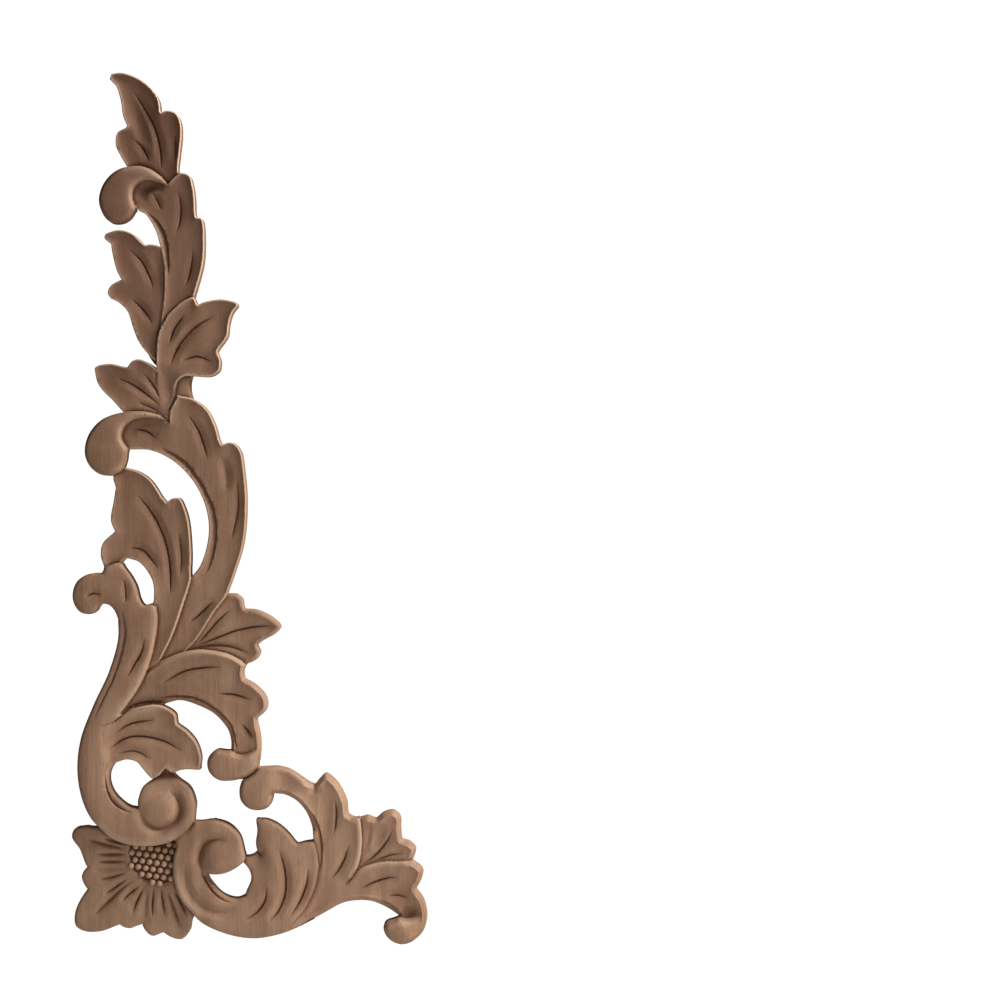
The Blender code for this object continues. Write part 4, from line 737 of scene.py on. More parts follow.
def from_path(path, p):
    """Distance of points p from an open path, the way along it in mm, its length, and which points
    lie on the right of it."""
    a, b = path[:-1], path[1:]
    ab = b - a
    length = np.sqrt((ab**2).sum(1))
    begin = np.concatenate([[0], np.cumsum(length)])
    ap = p[:, None] - a
    t = np.clip((ap * ab).sum(2) / np.maximum(length**2, 1e-12), 0, 1)
    gap = np.sqrt(((ap - t[..., None] * ab) ** 2).sum(2))
    which = gap.argmin(1)
    row = np.arange(len(p))
    right = ab[which, 0] * ap[row, which, 1] - ab[which, 1] * ap[row, which, 0] < 0
    return gap[row, which], begin[which] + t[row, which] * length[which], begin[-1], right


def weight(element, p):
    """How fully the element has grown out of its stem at points p."""
    share = np.ones(len(p))
    for x0, z0, x1, z1 in element["fade"]:
        way = np.array([x1 - x0, z1 - z0])
        t = np.clip(((p - (x0, z0)) @ way) / (way @ way), 0, 1)
        share *= t * t * (3 - 2 * t)
    return share

# %% Cuts, edges and hollows
SEED_BED = 1.3   # how far the bed of the seeds lies below the rosette's middle
BED_SHADE = 1.6   # painted shade of the bed between the seeds, where 1 is the bottom of a cut
DARK_MIDDLE = np.array([0.5, 4.8])   # the rosette darkens towards its middle
DARK_RADIUS = 17.0
HIGHLIGHT_REACH = 1.0       # how far the painted highlight along a leaf's edge reaches over its face
ROUND_HIGHLIGHT = 0.3   # share of that painted highlight on curls and stems
TAPER = 9.0      # longest stretch over which a cut runs out at each end
HALO = 1.7       # how far the painted shade of a cut spreads to its sides
LOW_HALO = 2.2   # the same on the low side of a ledge, a crease or a step
SPOT_BLEND = 4   # square mm that make the passage between the spot heights soft


def tool_cuts(element, p):
    """How deep the element's cuts go at points p, and how dark they are from 0 to 1: the darker wood of a cut
    with painted shade in and beside it.
    """
    deep = np.zeros(len(p))
    dark = np.zeros(len(p))
    for kind, path in element["tracks"]:
        half, core, wide, soft, darkening = TOOLS[kind]
        box = max(half, wide) + 0.1
        near = ((p > path.min(0) - box) & (p < path.max(0) + box)).all(1)
        if not near.any():
            continue
        gap, along, length, right = from_path(path, p[near])
        run = min(TAPER, 0.5 * length)
        taper = np.clip(np.minimum(along, length - along) / run, 0, 1)
        taper = np.sin(taper * math.pi / 2)
        here = soft * taper * np.maximum(0, 1 - (gap / wide) ** 2) ** 2
        halo = np.clip(1 - gap / HALO, 0, 1) ** 2
        if kind in ("ledge", "crease", "step"):
            here = here * np.where(right, 1, np.maximum(0, 1 - gap / 0.3))
            halo = np.where(right, np.clip(1.3 - gap / LOW_HALO, 0, 1), halo)
        if half:
            edge = half * (0.45 + 0.55 * taper)
            here = here + core * taper * np.maximum(0, 1 - gap / edge)
            # painted shade: darkest in the cut, spreading to its sides and over the low side of a ledge, a
            # crease or a step
            line_and_shade = 0.6 * np.clip(1.3 - gap / edge, 0, 1) + 0.4 * halo
            line = darkening * np.clip(1.4 * taper, 0, 1) * line_and_shade
            dark[near] = np.maximum(dark[near], line)
        deep[near] = np.maximum(deep[near], here)
    return deep, dark


def own_surface(element, p, inset):
    """Height of one element's surface at points p that lie inset from its outline, how dark it is,
    and its painted highlight near the edge."""
    spots = element["spots"]
    share = (((p[:, None] - spots[:, :2]) ** 2).sum(2) + SPOT_BLEND) ** -1.5
    height = (share * spots[:, 2]).sum(1) / share.sum(1)
    wide = np.ones(len(p))
    for path in element["thin"]:
        wide = np.minimum(wide, np.clip(from_path(path, p)[0] / 2.5 - 0.4, 0.3, 1))
    across = np.clip(inset / (element["rim"] * wide), 0, 1)
    height -= element["drop"] * wide * (1 - across) ** 1.3
    start = element["rim"] if element["bulge"] < 0 else 0
    middle = np.clip((inset - start) / element["reach"], 0, 1)
    height += element["bulge"] * np.sqrt(1 - (1 - middle) ** 2)
    deep, dark = tool_cuts(element, p)
    if element["name"] == "rosette":
        away = np.hypot(*(p - DARK_MIDDLE).T)
        dark = np.maximum(dark, 0.35 * np.clip((DARK_RADIUS - away) / 6, 0, 1))
    if element["name"] == "seed head":
        bed = np.clip(0.6 + inset / 0.5, 0, 1)
        height -= bed * SEED_BED
        # painted shade on the bed between the seeds
        dark = np.maximum(dark, BED_SHADE * bed)
    # painted highlight along the edge, weaker on rounded curls and stems
    painted_highlight = np.clip(1 - inset / HIGHLIGHT_REACH, 0, 1)
    if element["bulge"] > 0:
        painted_highlight *= ROUND_HIGHLIGHT
    return height - deep, dark, painted_highlight


def surface(elements, p):
    """Height of the carving at points p, zero off it, how dark it is there with its cuts and painted shade,
    and its painted highlight near an edge.
    """
    height = np.zeros(len(p))
    dark = np.zeros(len(p))
    painted_highlight = np.zeros(len(p))
    for element in elements:
        loop = element["loop"]
        around = FOOT_REACH + 0.2
        near = ((p > loop.min(0) - around) & (p < loop.max(0) + around)).all(1)
        if not near.any():
            continue
        q = p[near]
        inset = from_segments(loop, q)
        share = weight(element, q)
        low, shade, highlight = height[near], dark[near], painted_highlight[near]
        beside = np.clip(1 + inset / FOOT_REACH, 0, 1) ** 2 * share**3
        beside = np.where((inset <= -0.01) & (low > 0), beside, 0)
        low = low - FOOT_CUT * beside
        # painted shadow beside a leaf that stands over another
        shade = np.maximum(shade, 0.45 * beside)
        on = inset > -0.01
        high, line, edge = own_surface(element, q, np.maximum(inset, 0))
        over = np.where(low > 0, share, 1)
        low[on] = (low + (high - low) * over)[on]
        shade[on] = (shade + (line - shade) * over)[on]
        highlight[on] = (highlight + (edge - highlight) * over)[on]
        height[near], dark[near], painted_highlight[near] = low, shade, highlight
    return height, dark, painted_highlight


# %% [markdown]
# ## Points where the carving needs them
# A plain grid would turn each edge into steps. Instead the points follow the outlines: one row on each
# line, a few rows over its rounded edge, a row at its foot, and rows along both sides of each cut. What is
# left is filled with a honeycomb. A constrained Delaunay triangulation joins them and keeps every line.

# %% Outlines and cuts as points
# The drawing shows the piece from one point straight in front of (x, z). An outer edge turned to
# that point shows its wall too, and one turned away is drawn a little small, as it lies deeper
VIEW = np.array([118.0, 127.0])
WALL_SEEN = 0.007        # step in for each mm that the edge faces the point
EDGE_HIDDEN = 0.003      # step out for each mm that it faces away
STEP_MEAN = 3.0          # mm of outline over which the step is averaged
BESIDE = 0.7             # an edge with wood this near outside it, mm, is no outer edge

CHORD = 0.012            # how far a chord may leave its curve, mm
SHORTEST = 0.32
LONGEST = 0.8
RIM_ROWS = (0.16, 0.4, 0.7, 1.0)   # shares of the rounded edge
FOOT_ROWS = (0.14, 0.5, 1.0)       # mm outside the outline
CUT_ROOM = 0.2                     # least gap between the points of a cut, mm
HONEYCOMB = 0.52                   # spacing of the points between the rows, mm
HONEY_ROW = 0.866                  # step from row to row as a share of that spacing
HONEY_ROOM = 0.62                  # room that a point needs, as a share of that spacing
CELL = 0.5                         # side of the squares that the points are sorted into, mm


def on_carving(elements, p):
    """Whether points p lie on any element."""
    found = np.zeros(len(p), bool)
    for element in elements:
        loop = element["loop"]
        near = ((p > loop.min(0)) & (p < loop.max(0))).all(1) & ~found
        if near.any():
            found[near] = from_segments(loop, p[near]) > 0
    return found


def straight_view(elements, element):
    """The element's outline without what the straight view adds to it or hides from it. Only the
    outer edges change, and the step is averaged over a few millimetres so that it has no jumps."""
    loop = element["loop"]
    along = np.roll(loop, -1, axis=0) - np.roll(loop, 1, axis=0)
    outward = np.column_stack([along[:, 1], -along[:, 0]]) * element["turn"]
    outward /= np.maximum(np.hypot(*outward.T), 1e-9)[:, None]
    facing = ((VIEW - loop) * outward).sum(1)
    step = np.where(facing > 0, -WALL_SEEN, -EDGE_HIDDEN) * facing
    step[on_carving(elements, loop + BESIDE * outward)] = 0
    gap = np.hypot(*(np.roll(loop, -1, axis=0) - loop).T)
    at = np.cumsum(gap) - gap
    apart = np.abs(at[:, None] - at)
    share = np.clip(1 - np.minimum(apart, gap.sum() - apart) / STEP_MEAN, 0, 1) * gap
    return loop + outward * ((share @ step) / share.sum(1))[:, None]


def drawing():
    """Every element with its outline and cuts turned into points, from the back to the front."""
    elements = [*upper_scrolls(), *corner(), *main_scrolls(), *stems()]
    for element in elements:
        runs = [curve(s, CHORD, SHORTEST, LONGEST)[:-1] for s in element["strokes"]]
        loop = np.vstack(runs)
        gap = np.hypot(*(loop - np.roll(loop, 1, axis=0)).T)
        loop = loop[gap > 0.05]
        ahead = np.roll(loop, -1, axis=0)
        area = (loop[:, 0] * ahead[:, 1] - ahead[:, 0] * loop[:, 1]).sum()
        element["loop"] = loop
        element["turn"] = 1 if area > 0 else -1
        element["tracks"] = [(kind, curve(c, CHORD, SHORTEST, LONGEST)) for kind, c in element["cuts"]]
    outlines = [straight_view(elements, element) for element in elements]
    for element, outline in zip(elements, outlines):
        element["loop"] = outline
    return elements


elements = drawing()
print(len(elements), "leaves and stems,", sum(len(e["loop"]) for e in elements), "points on their outlines")


# %% Which lines are seen
GROWN = 0.25     # share from which an element that grows out of its stem counts as there
HALVINGS = 14    # of the stretch in which an outline goes out of sight


class Scatter:
    """Points no closer to each other than asked."""

    def __init__(self, cell):
        self.cell = cell
        self.points = []
        self.grid = {}

    def clear(self, point, room):
        reach = math.ceil(room / self.cell)
        i, j = int(math.floor(point[0] / self.cell)), int(math.floor(point[1] / self.cell))
        for u in range(i - reach, i + reach + 1):
            for v in range(j - reach, j + reach + 1):
                for k in self.grid.get((u, v), ()):
                    if math.dist(self.points[k], point) < room:
                        return False
        return True

    def add(self, point):
        key = (int(math.floor(point[0] / self.cell)), int(math.floor(point[1] / self.cell)))
        self.grid.setdefault(key, []).append(len(self.points))
        self.points.append((float(point[0]), float(point[1])))
        return len(self.points) - 1


def covered(elements, level, p):
    """Whether the elements in front of the one at this level hide points p."""
    hidden = np.zeros(len(p), bool)
    for element in elements[level + 1 :]:
        loop = element["loop"]
        near = ((p > loop.min(0)) & (p < loop.max(0))).all(1) & ~hidden
        if near.any():
            q = p[near]
            hidden[near] = (from_segments(loop, q) > 0.02) & (weight(element, q) > GROWN)
    return hidden


def crossing(elements, level, seen, unseen):
    """Where the line from a seen point to an unseen one goes under the elements in front."""
    for _ in range(HALVINGS):
        middle = (seen + unseen) / 2
        if covered(elements, level, middle[None])[0]:
            unseen = middle
        else:
            seen = middle
    return (seen + unseen) / 2


def seen_outlines(elements, scatter):
    """Puts the seen part of every outline among the points. Gives its edges and the seen points."""
    edges, seen = [], []
    for level, element in enumerate(elements):
        loop = element["loop"]
        hidden = covered(elements, level, loop)
        below = surface(elements[:level], loop)[0] > 0
        hidden |= (weight(element, loop) < GROWN) & below
        made = {}
        for i in range(len(loop)):
            j = (i + 1) % len(loop)
            if hidden[i] and hidden[j]:
                continue
            ends = []
            for k, other in ((i, j), (j, i)):
                if not hidden[k]:
                    if k not in made:
                        made[k] = scatter.add(loop[k])
                    ends.append(made[k])
                elif covered(elements, level, loop[k][None])[0]:
                    ends.append(scatter.add(crossing(elements, level, loop[other], loop[k])))
            if len(ends) == 2 and ends[0] != ends[1]:
                edges.append(tuple(ends))
        seen.append(~hidden)
    return edges, seen


# %% Rows beside the lines, and the honeycomb
def beside_outlines(elements, seen, scatter):
    """Rows over each rounded edge and at its foot."""
    for share in (*RIM_ROWS, *(-row for row in FOOT_ROWS)):
        for level, element in enumerate(elements):
            loop = element["loop"][seen[level]]
            whole = element["loop"]
            tangent = np.roll(whole, -1, axis=0) - np.roll(whole, 1, axis=0)
            tangent /= np.maximum(np.hypot(*tangent.T), 1e-9)[:, None]
            inward = np.column_stack([-tangent[:, 1], tangent[:, 0]])[seen[level]] * element["turn"]
            inset = share * element["rim"] if share > 0 else share
            points = loop + inward * inset
            away = from_segments(whole, points)
            ok = (np.abs(away - inset) < 0.25 * abs(inset)) & ~covered(elements, level, points)
            if inset < 0:
                ok &= surface(elements, points)[0] > 0
            room = min(0.3, 0.75 * abs(inset))
            for point in points[ok]:
                if scatter.clear(point, room):
                    scatter.add(point)


def along_cuts(elements, scatter):
    """A row along the middle of each cut and rows on its slopes. Gives the middle's edges."""
    edges = []
    for level, element in enumerate(elements):
        for kind, path in element["tracks"]:
            half = TOOLS[kind][0]
            if not half:
                continue
            side = np.gradient(path, axis=0)
            side /= np.maximum(np.hypot(*side.T), 1e-9)[:, None]
            side = np.column_stack([-side[:, 1], side[:, 0]])
            for step in (0, 0.5 * half, -0.5 * half, half, -half, half + 0.5, -half - 0.5):
                row = path + side * step
                ok = (from_segments(element["loop"], row) > 0.35) & ~covered(elements, level, row)
                last = None
                for k, point in enumerate(row):
                    if not ok[k] or not scatter.clear(point, CUT_ROOM):
                        last = None
                        continue
                    here = scatter.add(point)
                    if step == 0 and last is not None:
                        edges.append((last, here))
                    last = here
    return edges


def honeycomb(elements, scatter):
    """Fills the faces between the rows."""
    low = np.min([e["loop"].min(0) for e in elements], axis=0)
    high = np.max([e["loop"].max(0) for e in elements], axis=0)
    rows = np.arange(low[1], high[1], HONEYCOMB * HONEY_ROW)
    line = np.arange(low[0], high[0], HONEYCOMB)
    grid = np.array([(x + (k % 2) * HONEYCOMB / 2, z) for k, z in enumerate(rows) for x in line])
    for point in grid[on_carving(elements, grid)]:
        if scatter.clear(point, HONEY_ROOM * HONEYCOMB):
            scatter.add(point)


scatter = Scatter(CELL)
edges, seen = seen_outlines(elements, scatter)
beside_outlines(elements, seen, scatter)
edges += along_cuts(elements, scatter)
honeycomb(elements, scatter)
print(len(scatter.points), "points,", len(edges), "edges to keep")


# %% [markdown]
# ## The carved board
# The triangles between the points become the carved face once each point has its height. Along the border
# a wall drops straight to the back, as the saw leaves it, and the back is one flat face. Each point also
# keeps how dark it is, from its cut and from painted shade, how hollow its place is and its painted
# highlight near an edge, for the finish to read.

# %% Triangles, walls and back
CARVED, SAWN, PLANED = 0, 1, 2    # the finishes of the board's faces


def triangles(elements, points, edges):
    """Triangles over the carving that keep the given edges."""
    made = delaunay_2d_cdt([tuple(q) for q in points], edges, [], 0, 1e-4)
    flat = np.array([tuple(v) for v in made[0]])
    faces = np.array([f for f in made[2] if len(f) == 3])
    a, b, c = (flat[faces[:, k]] for k in range(3))
    area = 0.5 * ((b - a)[:, 0] * (c - a)[:, 1] - (b - a)[:, 1] * (c - a)[:, 0])
    keep = on_carving(elements, (a + b + c) / 3) & (np.abs(area) > 1e-7)
    faces = np.where((area > 0)[:, None], faces, faces[:, ::-1])[keep]
    return flat, faces


def border(faces):
    """The directed edges that only one triangle has."""
    ends = np.concatenate([faces[:, [0, 1]], faces[:, [1, 2]], faces[:, [2, 0]]])
    known = {tuple(e) for e in ends.tolist()}
    return [(a, b) for a, b in ends.tolist() if (b, a) not in known]


def hollowness(flat, height, cell=0.5, reach=5):
    """How far each point lies below the mean height around it, in mm, negative on a crest."""
    low = flat.min(0) - cell * (reach + 2)
    place = np.floor((flat - low) / cell).astype(int)
    size = place.max(0) + reach + 3
    total, count = np.zeros(size), np.zeros(size)
    np.add.at(total, tuple(place.T), height)
    np.add.at(count, tuple(place.T), 1)
    for _ in range(3):
        for axis in (0, 1):
            total = sum(np.roll(total, k, axis) for k in range(-reach + 2, reach - 1))
            count = sum(np.roll(count, k, axis) for k in range(-reach + 2, reach - 1))
    mean = total / np.maximum(count, 1)
    return mean[tuple(place.T)] - height


def carved_board(elements, points, edges):
    """The carved face, its walls and its flat back as one closed mesh."""
    flat, faces = triangles(elements, points, edges)
    height, dark, painted_highlight = surface(elements, flat)
    height = np.maximum(height, THINNEST)
    hollow = hollowness(flat, height)
    rim = border(faces)
    edge_points = sorted({a for a, _ in rim} | {b for _, b in rim})
    back = {k: len(flat) + i for i, k in enumerate(edge_points)}
    number = {k: i for i, k in enumerate(edge_points)}
    behind, under = triangles(
        elements, [tuple(flat[k]) for k in edge_points], [(number[a], number[b]) for a, b in rim]
    )
    front = np.column_stack([flat[:, 0], -height, flat[:, 1]]) * MM
    rear = np.column_stack([flat[edge_points, 0], np.zeros(len(edge_points)), flat[edge_points, 1]]) * MM
    verts = np.clip(np.vstack([front, rear]), cad_low, cad_high)
    wall = [(b, a, back[a], back[b]) for a, b in rim]
    flat_back = [tuple(len(flat) + k for k in reversed(f)) for f in under.tolist()]
    all_faces = [tuple(f) for f in faces.tolist()] + wall + flat_back
    side = [CARVED] * len(faces) + [SAWN] * len(wall) + [PLANED] * len(flat_back)
    if len(behind) != len(edge_points):
        raise ValueError("the back's outline crosses itself")
    # the cut attribute holds the darker wood of the cuts and painted shade, the edge attribute painted
    # highlight
    kept = {"cut": dark, "hollow": hollow, "edge": painted_highlight}
    return verts, all_faces, side, {k: np.append(v, np.zeros(len(edge_points))) for k, v in kept.items()}


verts, faces, side, kept = carved_board(elements, scatter.points, edges)
mesh = bpy.data.meshes.new("carving")
mesh.from_pydata(verts.tolist(), [], faces)
for name, values in kept.items():
    mesh.attributes.new(name, "FLOAT", "POINT").data.foreach_set("value", values.astype(np.float32))
mesh.polygons.foreach_set("material_index", side)
mesh.shade_smooth()
mesh.set_sharp_from_angle(angle=math.radians(50))
carving = bpy.data.objects.new("carving", mesh)
bpy.context.scene.collection.objects.link(carving)
print(sum(len(f) - 2 for f in faces), "triangles in the carving")

# %% [markdown]
# ## Brown hardwood
# The wood is a plain brown hardwood, sanded but not varnished. Long fibres run up the board, with short
# dark pores between them, broad bands of darker and paler growth and a few redder flushes. Painted shade
# makes it darker towards the upper end. The V cuts are dark, partly from the wood and partly from painted
# shade, which also lies beside the cuts, beside leaves that stand over others, in the hollows, in the
# undercut below the two lobed leaf and most of all on the bed between the seeds. The rosette is darker
# towards its middle, and painted highlights make the crests and edges paler, more so towards the upper end.
#
# The pattern is worked out in the board's own space, so it runs through the piece as real grain does: it
# makes contour lines on slopes and end grain on the rolls. Numbers that change over the surface are
# written as sums, and a small class turns each sum into Math nodes.

# %% Sums of sockets
class Shade:
    """A number that changes over the surface. Sums with it add Math nodes to its material."""

    def __init__(self, finish, socket):
        self.finish = finish
        self.socket = socket

    def sum_node(self, operation, *terms):
        node = self.finish.node("ShaderNodeMath", {"operation": operation}, dict(enumerate(terms)))
        return Shade(self.finish, node.outputs[0])

    def __add__(self, other):
        return self.sum_node("ADD", self, other)

    def __sub__(self, other):
        return self.sum_node("SUBTRACT", self, other)

    def __rsub__(self, other):
        return self.sum_node("SUBTRACT", other, self)

    def __mul__(self, other):
        return self.sum_node("MULTIPLY", self, other)

    __radd__ = __add__
    __rmul__ = __mul__

    def least(self, other):
        return self.sum_node("MINIMUM", self, other)

    def step(self, start, end):
        """0 below start and 1 above end, smooth between them."""
        node = self.finish.node(
            "ShaderNodeMapRange",
            {"interpolation_type": "SMOOTHSTEP"},
            {"Value": self, "From Min": start, "From Max": end},
        )
        return Shade(self.finish, node.outputs["Result"])


class Finish:
    """A material that is being made."""

    def __init__(self, name):
        self.material = bpy.data.materials.new(name)
        self.material.use_nodes = True
        self.tree = self.material.node_tree
        self.shader = self.tree.nodes["Principled BSDF"]

    def node(self, kind, settings, inputs):
        """Adds a node: its settings first, then values or links for its sockets."""
        node = self.tree.nodes.new(kind)
        for name, value in settings.items():
            setattr(node, name, value)
        for name, value in inputs.items():
            self.feed(node.inputs[name], value)
        return node

    def feed(self, socket, value):
        if isinstance(value, Shade):
            value = value.socket
        if isinstance(value, bpy.types.NodeSocket):
            self.tree.links.new(value, socket)
        else:
            socket.default_value = value

    def read(self, name):
        """A number kept on each point of the mesh."""
        node = self.node("ShaderNodeAttribute", {"attribute_name": name}, {})
        return Shade(self, node.outputs["Fac"])

    def fibres(self, scale, detail=2.0, rough=0.5):
        """Noise in the board's own space, stretched by one scale for each axis, in waves per metre."""
        place = self.node("ShaderNodeTexCoord", {}, {})
        stretched = self.node(
            "ShaderNodeVectorMath", {"operation": "MULTIPLY"}, {0: place.outputs["Object"], 1: scale}
        )
        noise = self.node(
            "ShaderNodeTexNoise",
            {},
            {"Vector": stretched.outputs[0], "Scale": 1.0, "Detail": detail, "Roughness": rough},
        )
        return Shade(self, noise.outputs["Fac"])

    def height(self):
        """Metres up the board."""
        place = self.node("ShaderNodeTexCoord", {}, {})
        return Shade(self, self.node("ShaderNodeSeparateXYZ", {}, {0: place.outputs["Object"]}).outputs["Z"])

    def blend(self, share, first, second):
        """A colour between two others."""
        node = self.node("ShaderNodeMix", {"data_type": "RGBA"}, {0: share, 6: first, 7: second})
        return node.outputs[2]


# %% The three finishes of the one board
PALE = (0.432, 0.262, 0.166, 1)      # pale growth
BROWN = (0.225, 0.118, 0.068, 1)     # dark growth
TOP_SHADE = (0.180, 0.082, 0.049, 1)     # painted shade: the wood darker towards the upper end of the board, where less light falls
RUDDY = (0.300, 0.130, 0.080, 1)     # flushes of redder wood
PORE = (0.120, 0.060, 0.035, 1)
CUT_AND_SHADE = (0.150, 0.060, 0.028, 1)  # darker wood at the bottom of a V cut, with painted shade in and beside the cuts and beside leaves that stand over others
DEEPEST_SHADE = (0.050, 0.022, 0.012, 1)     # the darkest painted shade: between the seeds and in the undercut below the two lobed leaf
HOLLOW_SHADE = (0.150, 0.066, 0.036, 1)     # painted shade in deep hollows
HIGHLIGHT_COLOUR = (0.640, 0.460, 0.320, 1)    # painted highlight on crests and edges
TONE_START = 0.63    # where the sum of bands, grain and clouds starts to turn from pale to dark


def hardwood(name, carved=False, sawn=None, paler=0.0):
    """One finish: grain and pores for all with painted shade towards the upper end, dark cuts with painted
    shade and painted highlights on crests and edges where carved is true, and saw marks stretched by the sawn
    scale."""
    finish = Finish(name)
    bands = finish.fibres((150, 150, 9), detail=2.0)
    grain = finish.fibres((1500, 1500, 45), detail=3.0, rough=0.6)
    pores = finish.fibres((4200, 4200, 330), detail=1.0).step(0.58, 0.72)
    clouds = finish.fibres((70, 70, 45), detail=3.0, rough=0.6)
    tone = (bands * 0.8 + grain * 0.55 + clouds * 0.9 - TONE_START - paler).step(0.0, 1.0)
    colour = finish.blend(tone, PALE, BROWN)
    colour = finish.blend(pores * 0.3, colour, PORE)
    flush = finish.fibres((120, 120, 60), detail=4.0, rough=0.6)
    colour = finish.blend(flush.step(0.5, 0.72) * 0.4, colour, RUDDY)
    # painted shade: the colour turns darker towards the upper end of the board
    upper = finish.height().step(0.02, 0.28)
    colour = finish.blend(upper * 0.75, colour, TOP_SHADE)
    lift = grain * 0.35 - pores * 0.6
    if carved:
        hollow = finish.read("hollow")
        cut = finish.read("cut")
        # painted shade in the hollows
        colour = finish.blend(hollow.step(0.1, 1.7) * 0.6, colour, HOLLOW_SHADE)
        # painted highlight on edges, stronger towards the upper end, and on crests
        edge = finish.read("edge").step(0.2, 0.9) * (upper * 0.95 + 0.15)
        crest_highlight = (0.0 - hollow).step(0.1, 1.3) * 0.3 + edge
        colour = finish.blend(crest_highlight.least(1.0), colour, HIGHLIGHT_COLOUR)
        # the darker wood of the cuts, with painted shade in and beside them and beside leaves that stand over
        # others
        colour = finish.blend(cut.least(1.2) * 0.8, colour, CUT_AND_SHADE)
        # the darkest painted shade, between the seeds and in the undercut below the two lobed leaf
        colour = finish.blend(cut.step(1.2, 1.6) * 0.6, colour, DEEPEST_SHADE)
    if sawn:
        marks = finish.fibres(sawn, detail=2.0)
        lift = lift + marks * 0.9
        colour = finish.blend(marks.step(0.45, 0.75) * 0.25, colour, PORE)
    bump = finish.node(
        "ShaderNodeBump", {}, {"Height": lift, "Strength": 0.5, "Distance": 0.00012}
    )
    finish.feed(finish.shader.inputs["Base Color"], colour)
    finish.feed(finish.shader.inputs["Roughness"], 0.68 - grain * 0.16)
    finish.feed(finish.shader.inputs["Normal"], bump.outputs["Normal"])
    finish.shader.inputs["Specular IOR Level"].default_value = 0.35
    return finish.material


carved_wood = hardwood("carved face", carved=True)
sawn_wood = hardwood("sawn walls", sawn=(1300, 60, 1300), paler=0.5)
back_wood = hardwood("planed back", sawn=(500, 500, 60), paler=0.06)
for material in (carved_wood, sawn_wood, back_wood):
    carving.data.materials.append(material)
print("finishes:", [m.name for m in carving.data.materials])

# %% [markdown]
# ## The seeds
# The rosette's seed head is a bed of small round seeds in slanting rows. A carver cuts them by crossing
# two sets of grooves and rounding what is left. They repeat, so Geometry Nodes lays them out: a grid is
# slanted into rows, a ray from the front finds the bed under each place, and a seed is set wherever it
# lands on the bed rather than on a petal or a scroll. It stands out of the bed a little more than half.

# %% A tree that sows seeds on the bed
SEED_LIFT = 0.0003       # how far a seed's middle stands out of the bed, metres
RAY_START = 0.05         # how far in front of the back the rays start, metres


def grow(tree, kind, settings, inputs):
    """Adds a node to a Geometry Nodes tree: its settings first, then its sockets."""
    node = tree.nodes.new(kind)
    for name, value in settings.items():
        setattr(node, name, value)
    for name, value in inputs.items():
        if isinstance(value, bpy.types.NodeSocket):
            tree.links.new(value, node.inputs[name])
        else:
            node.inputs[name].default_value = value
    return node


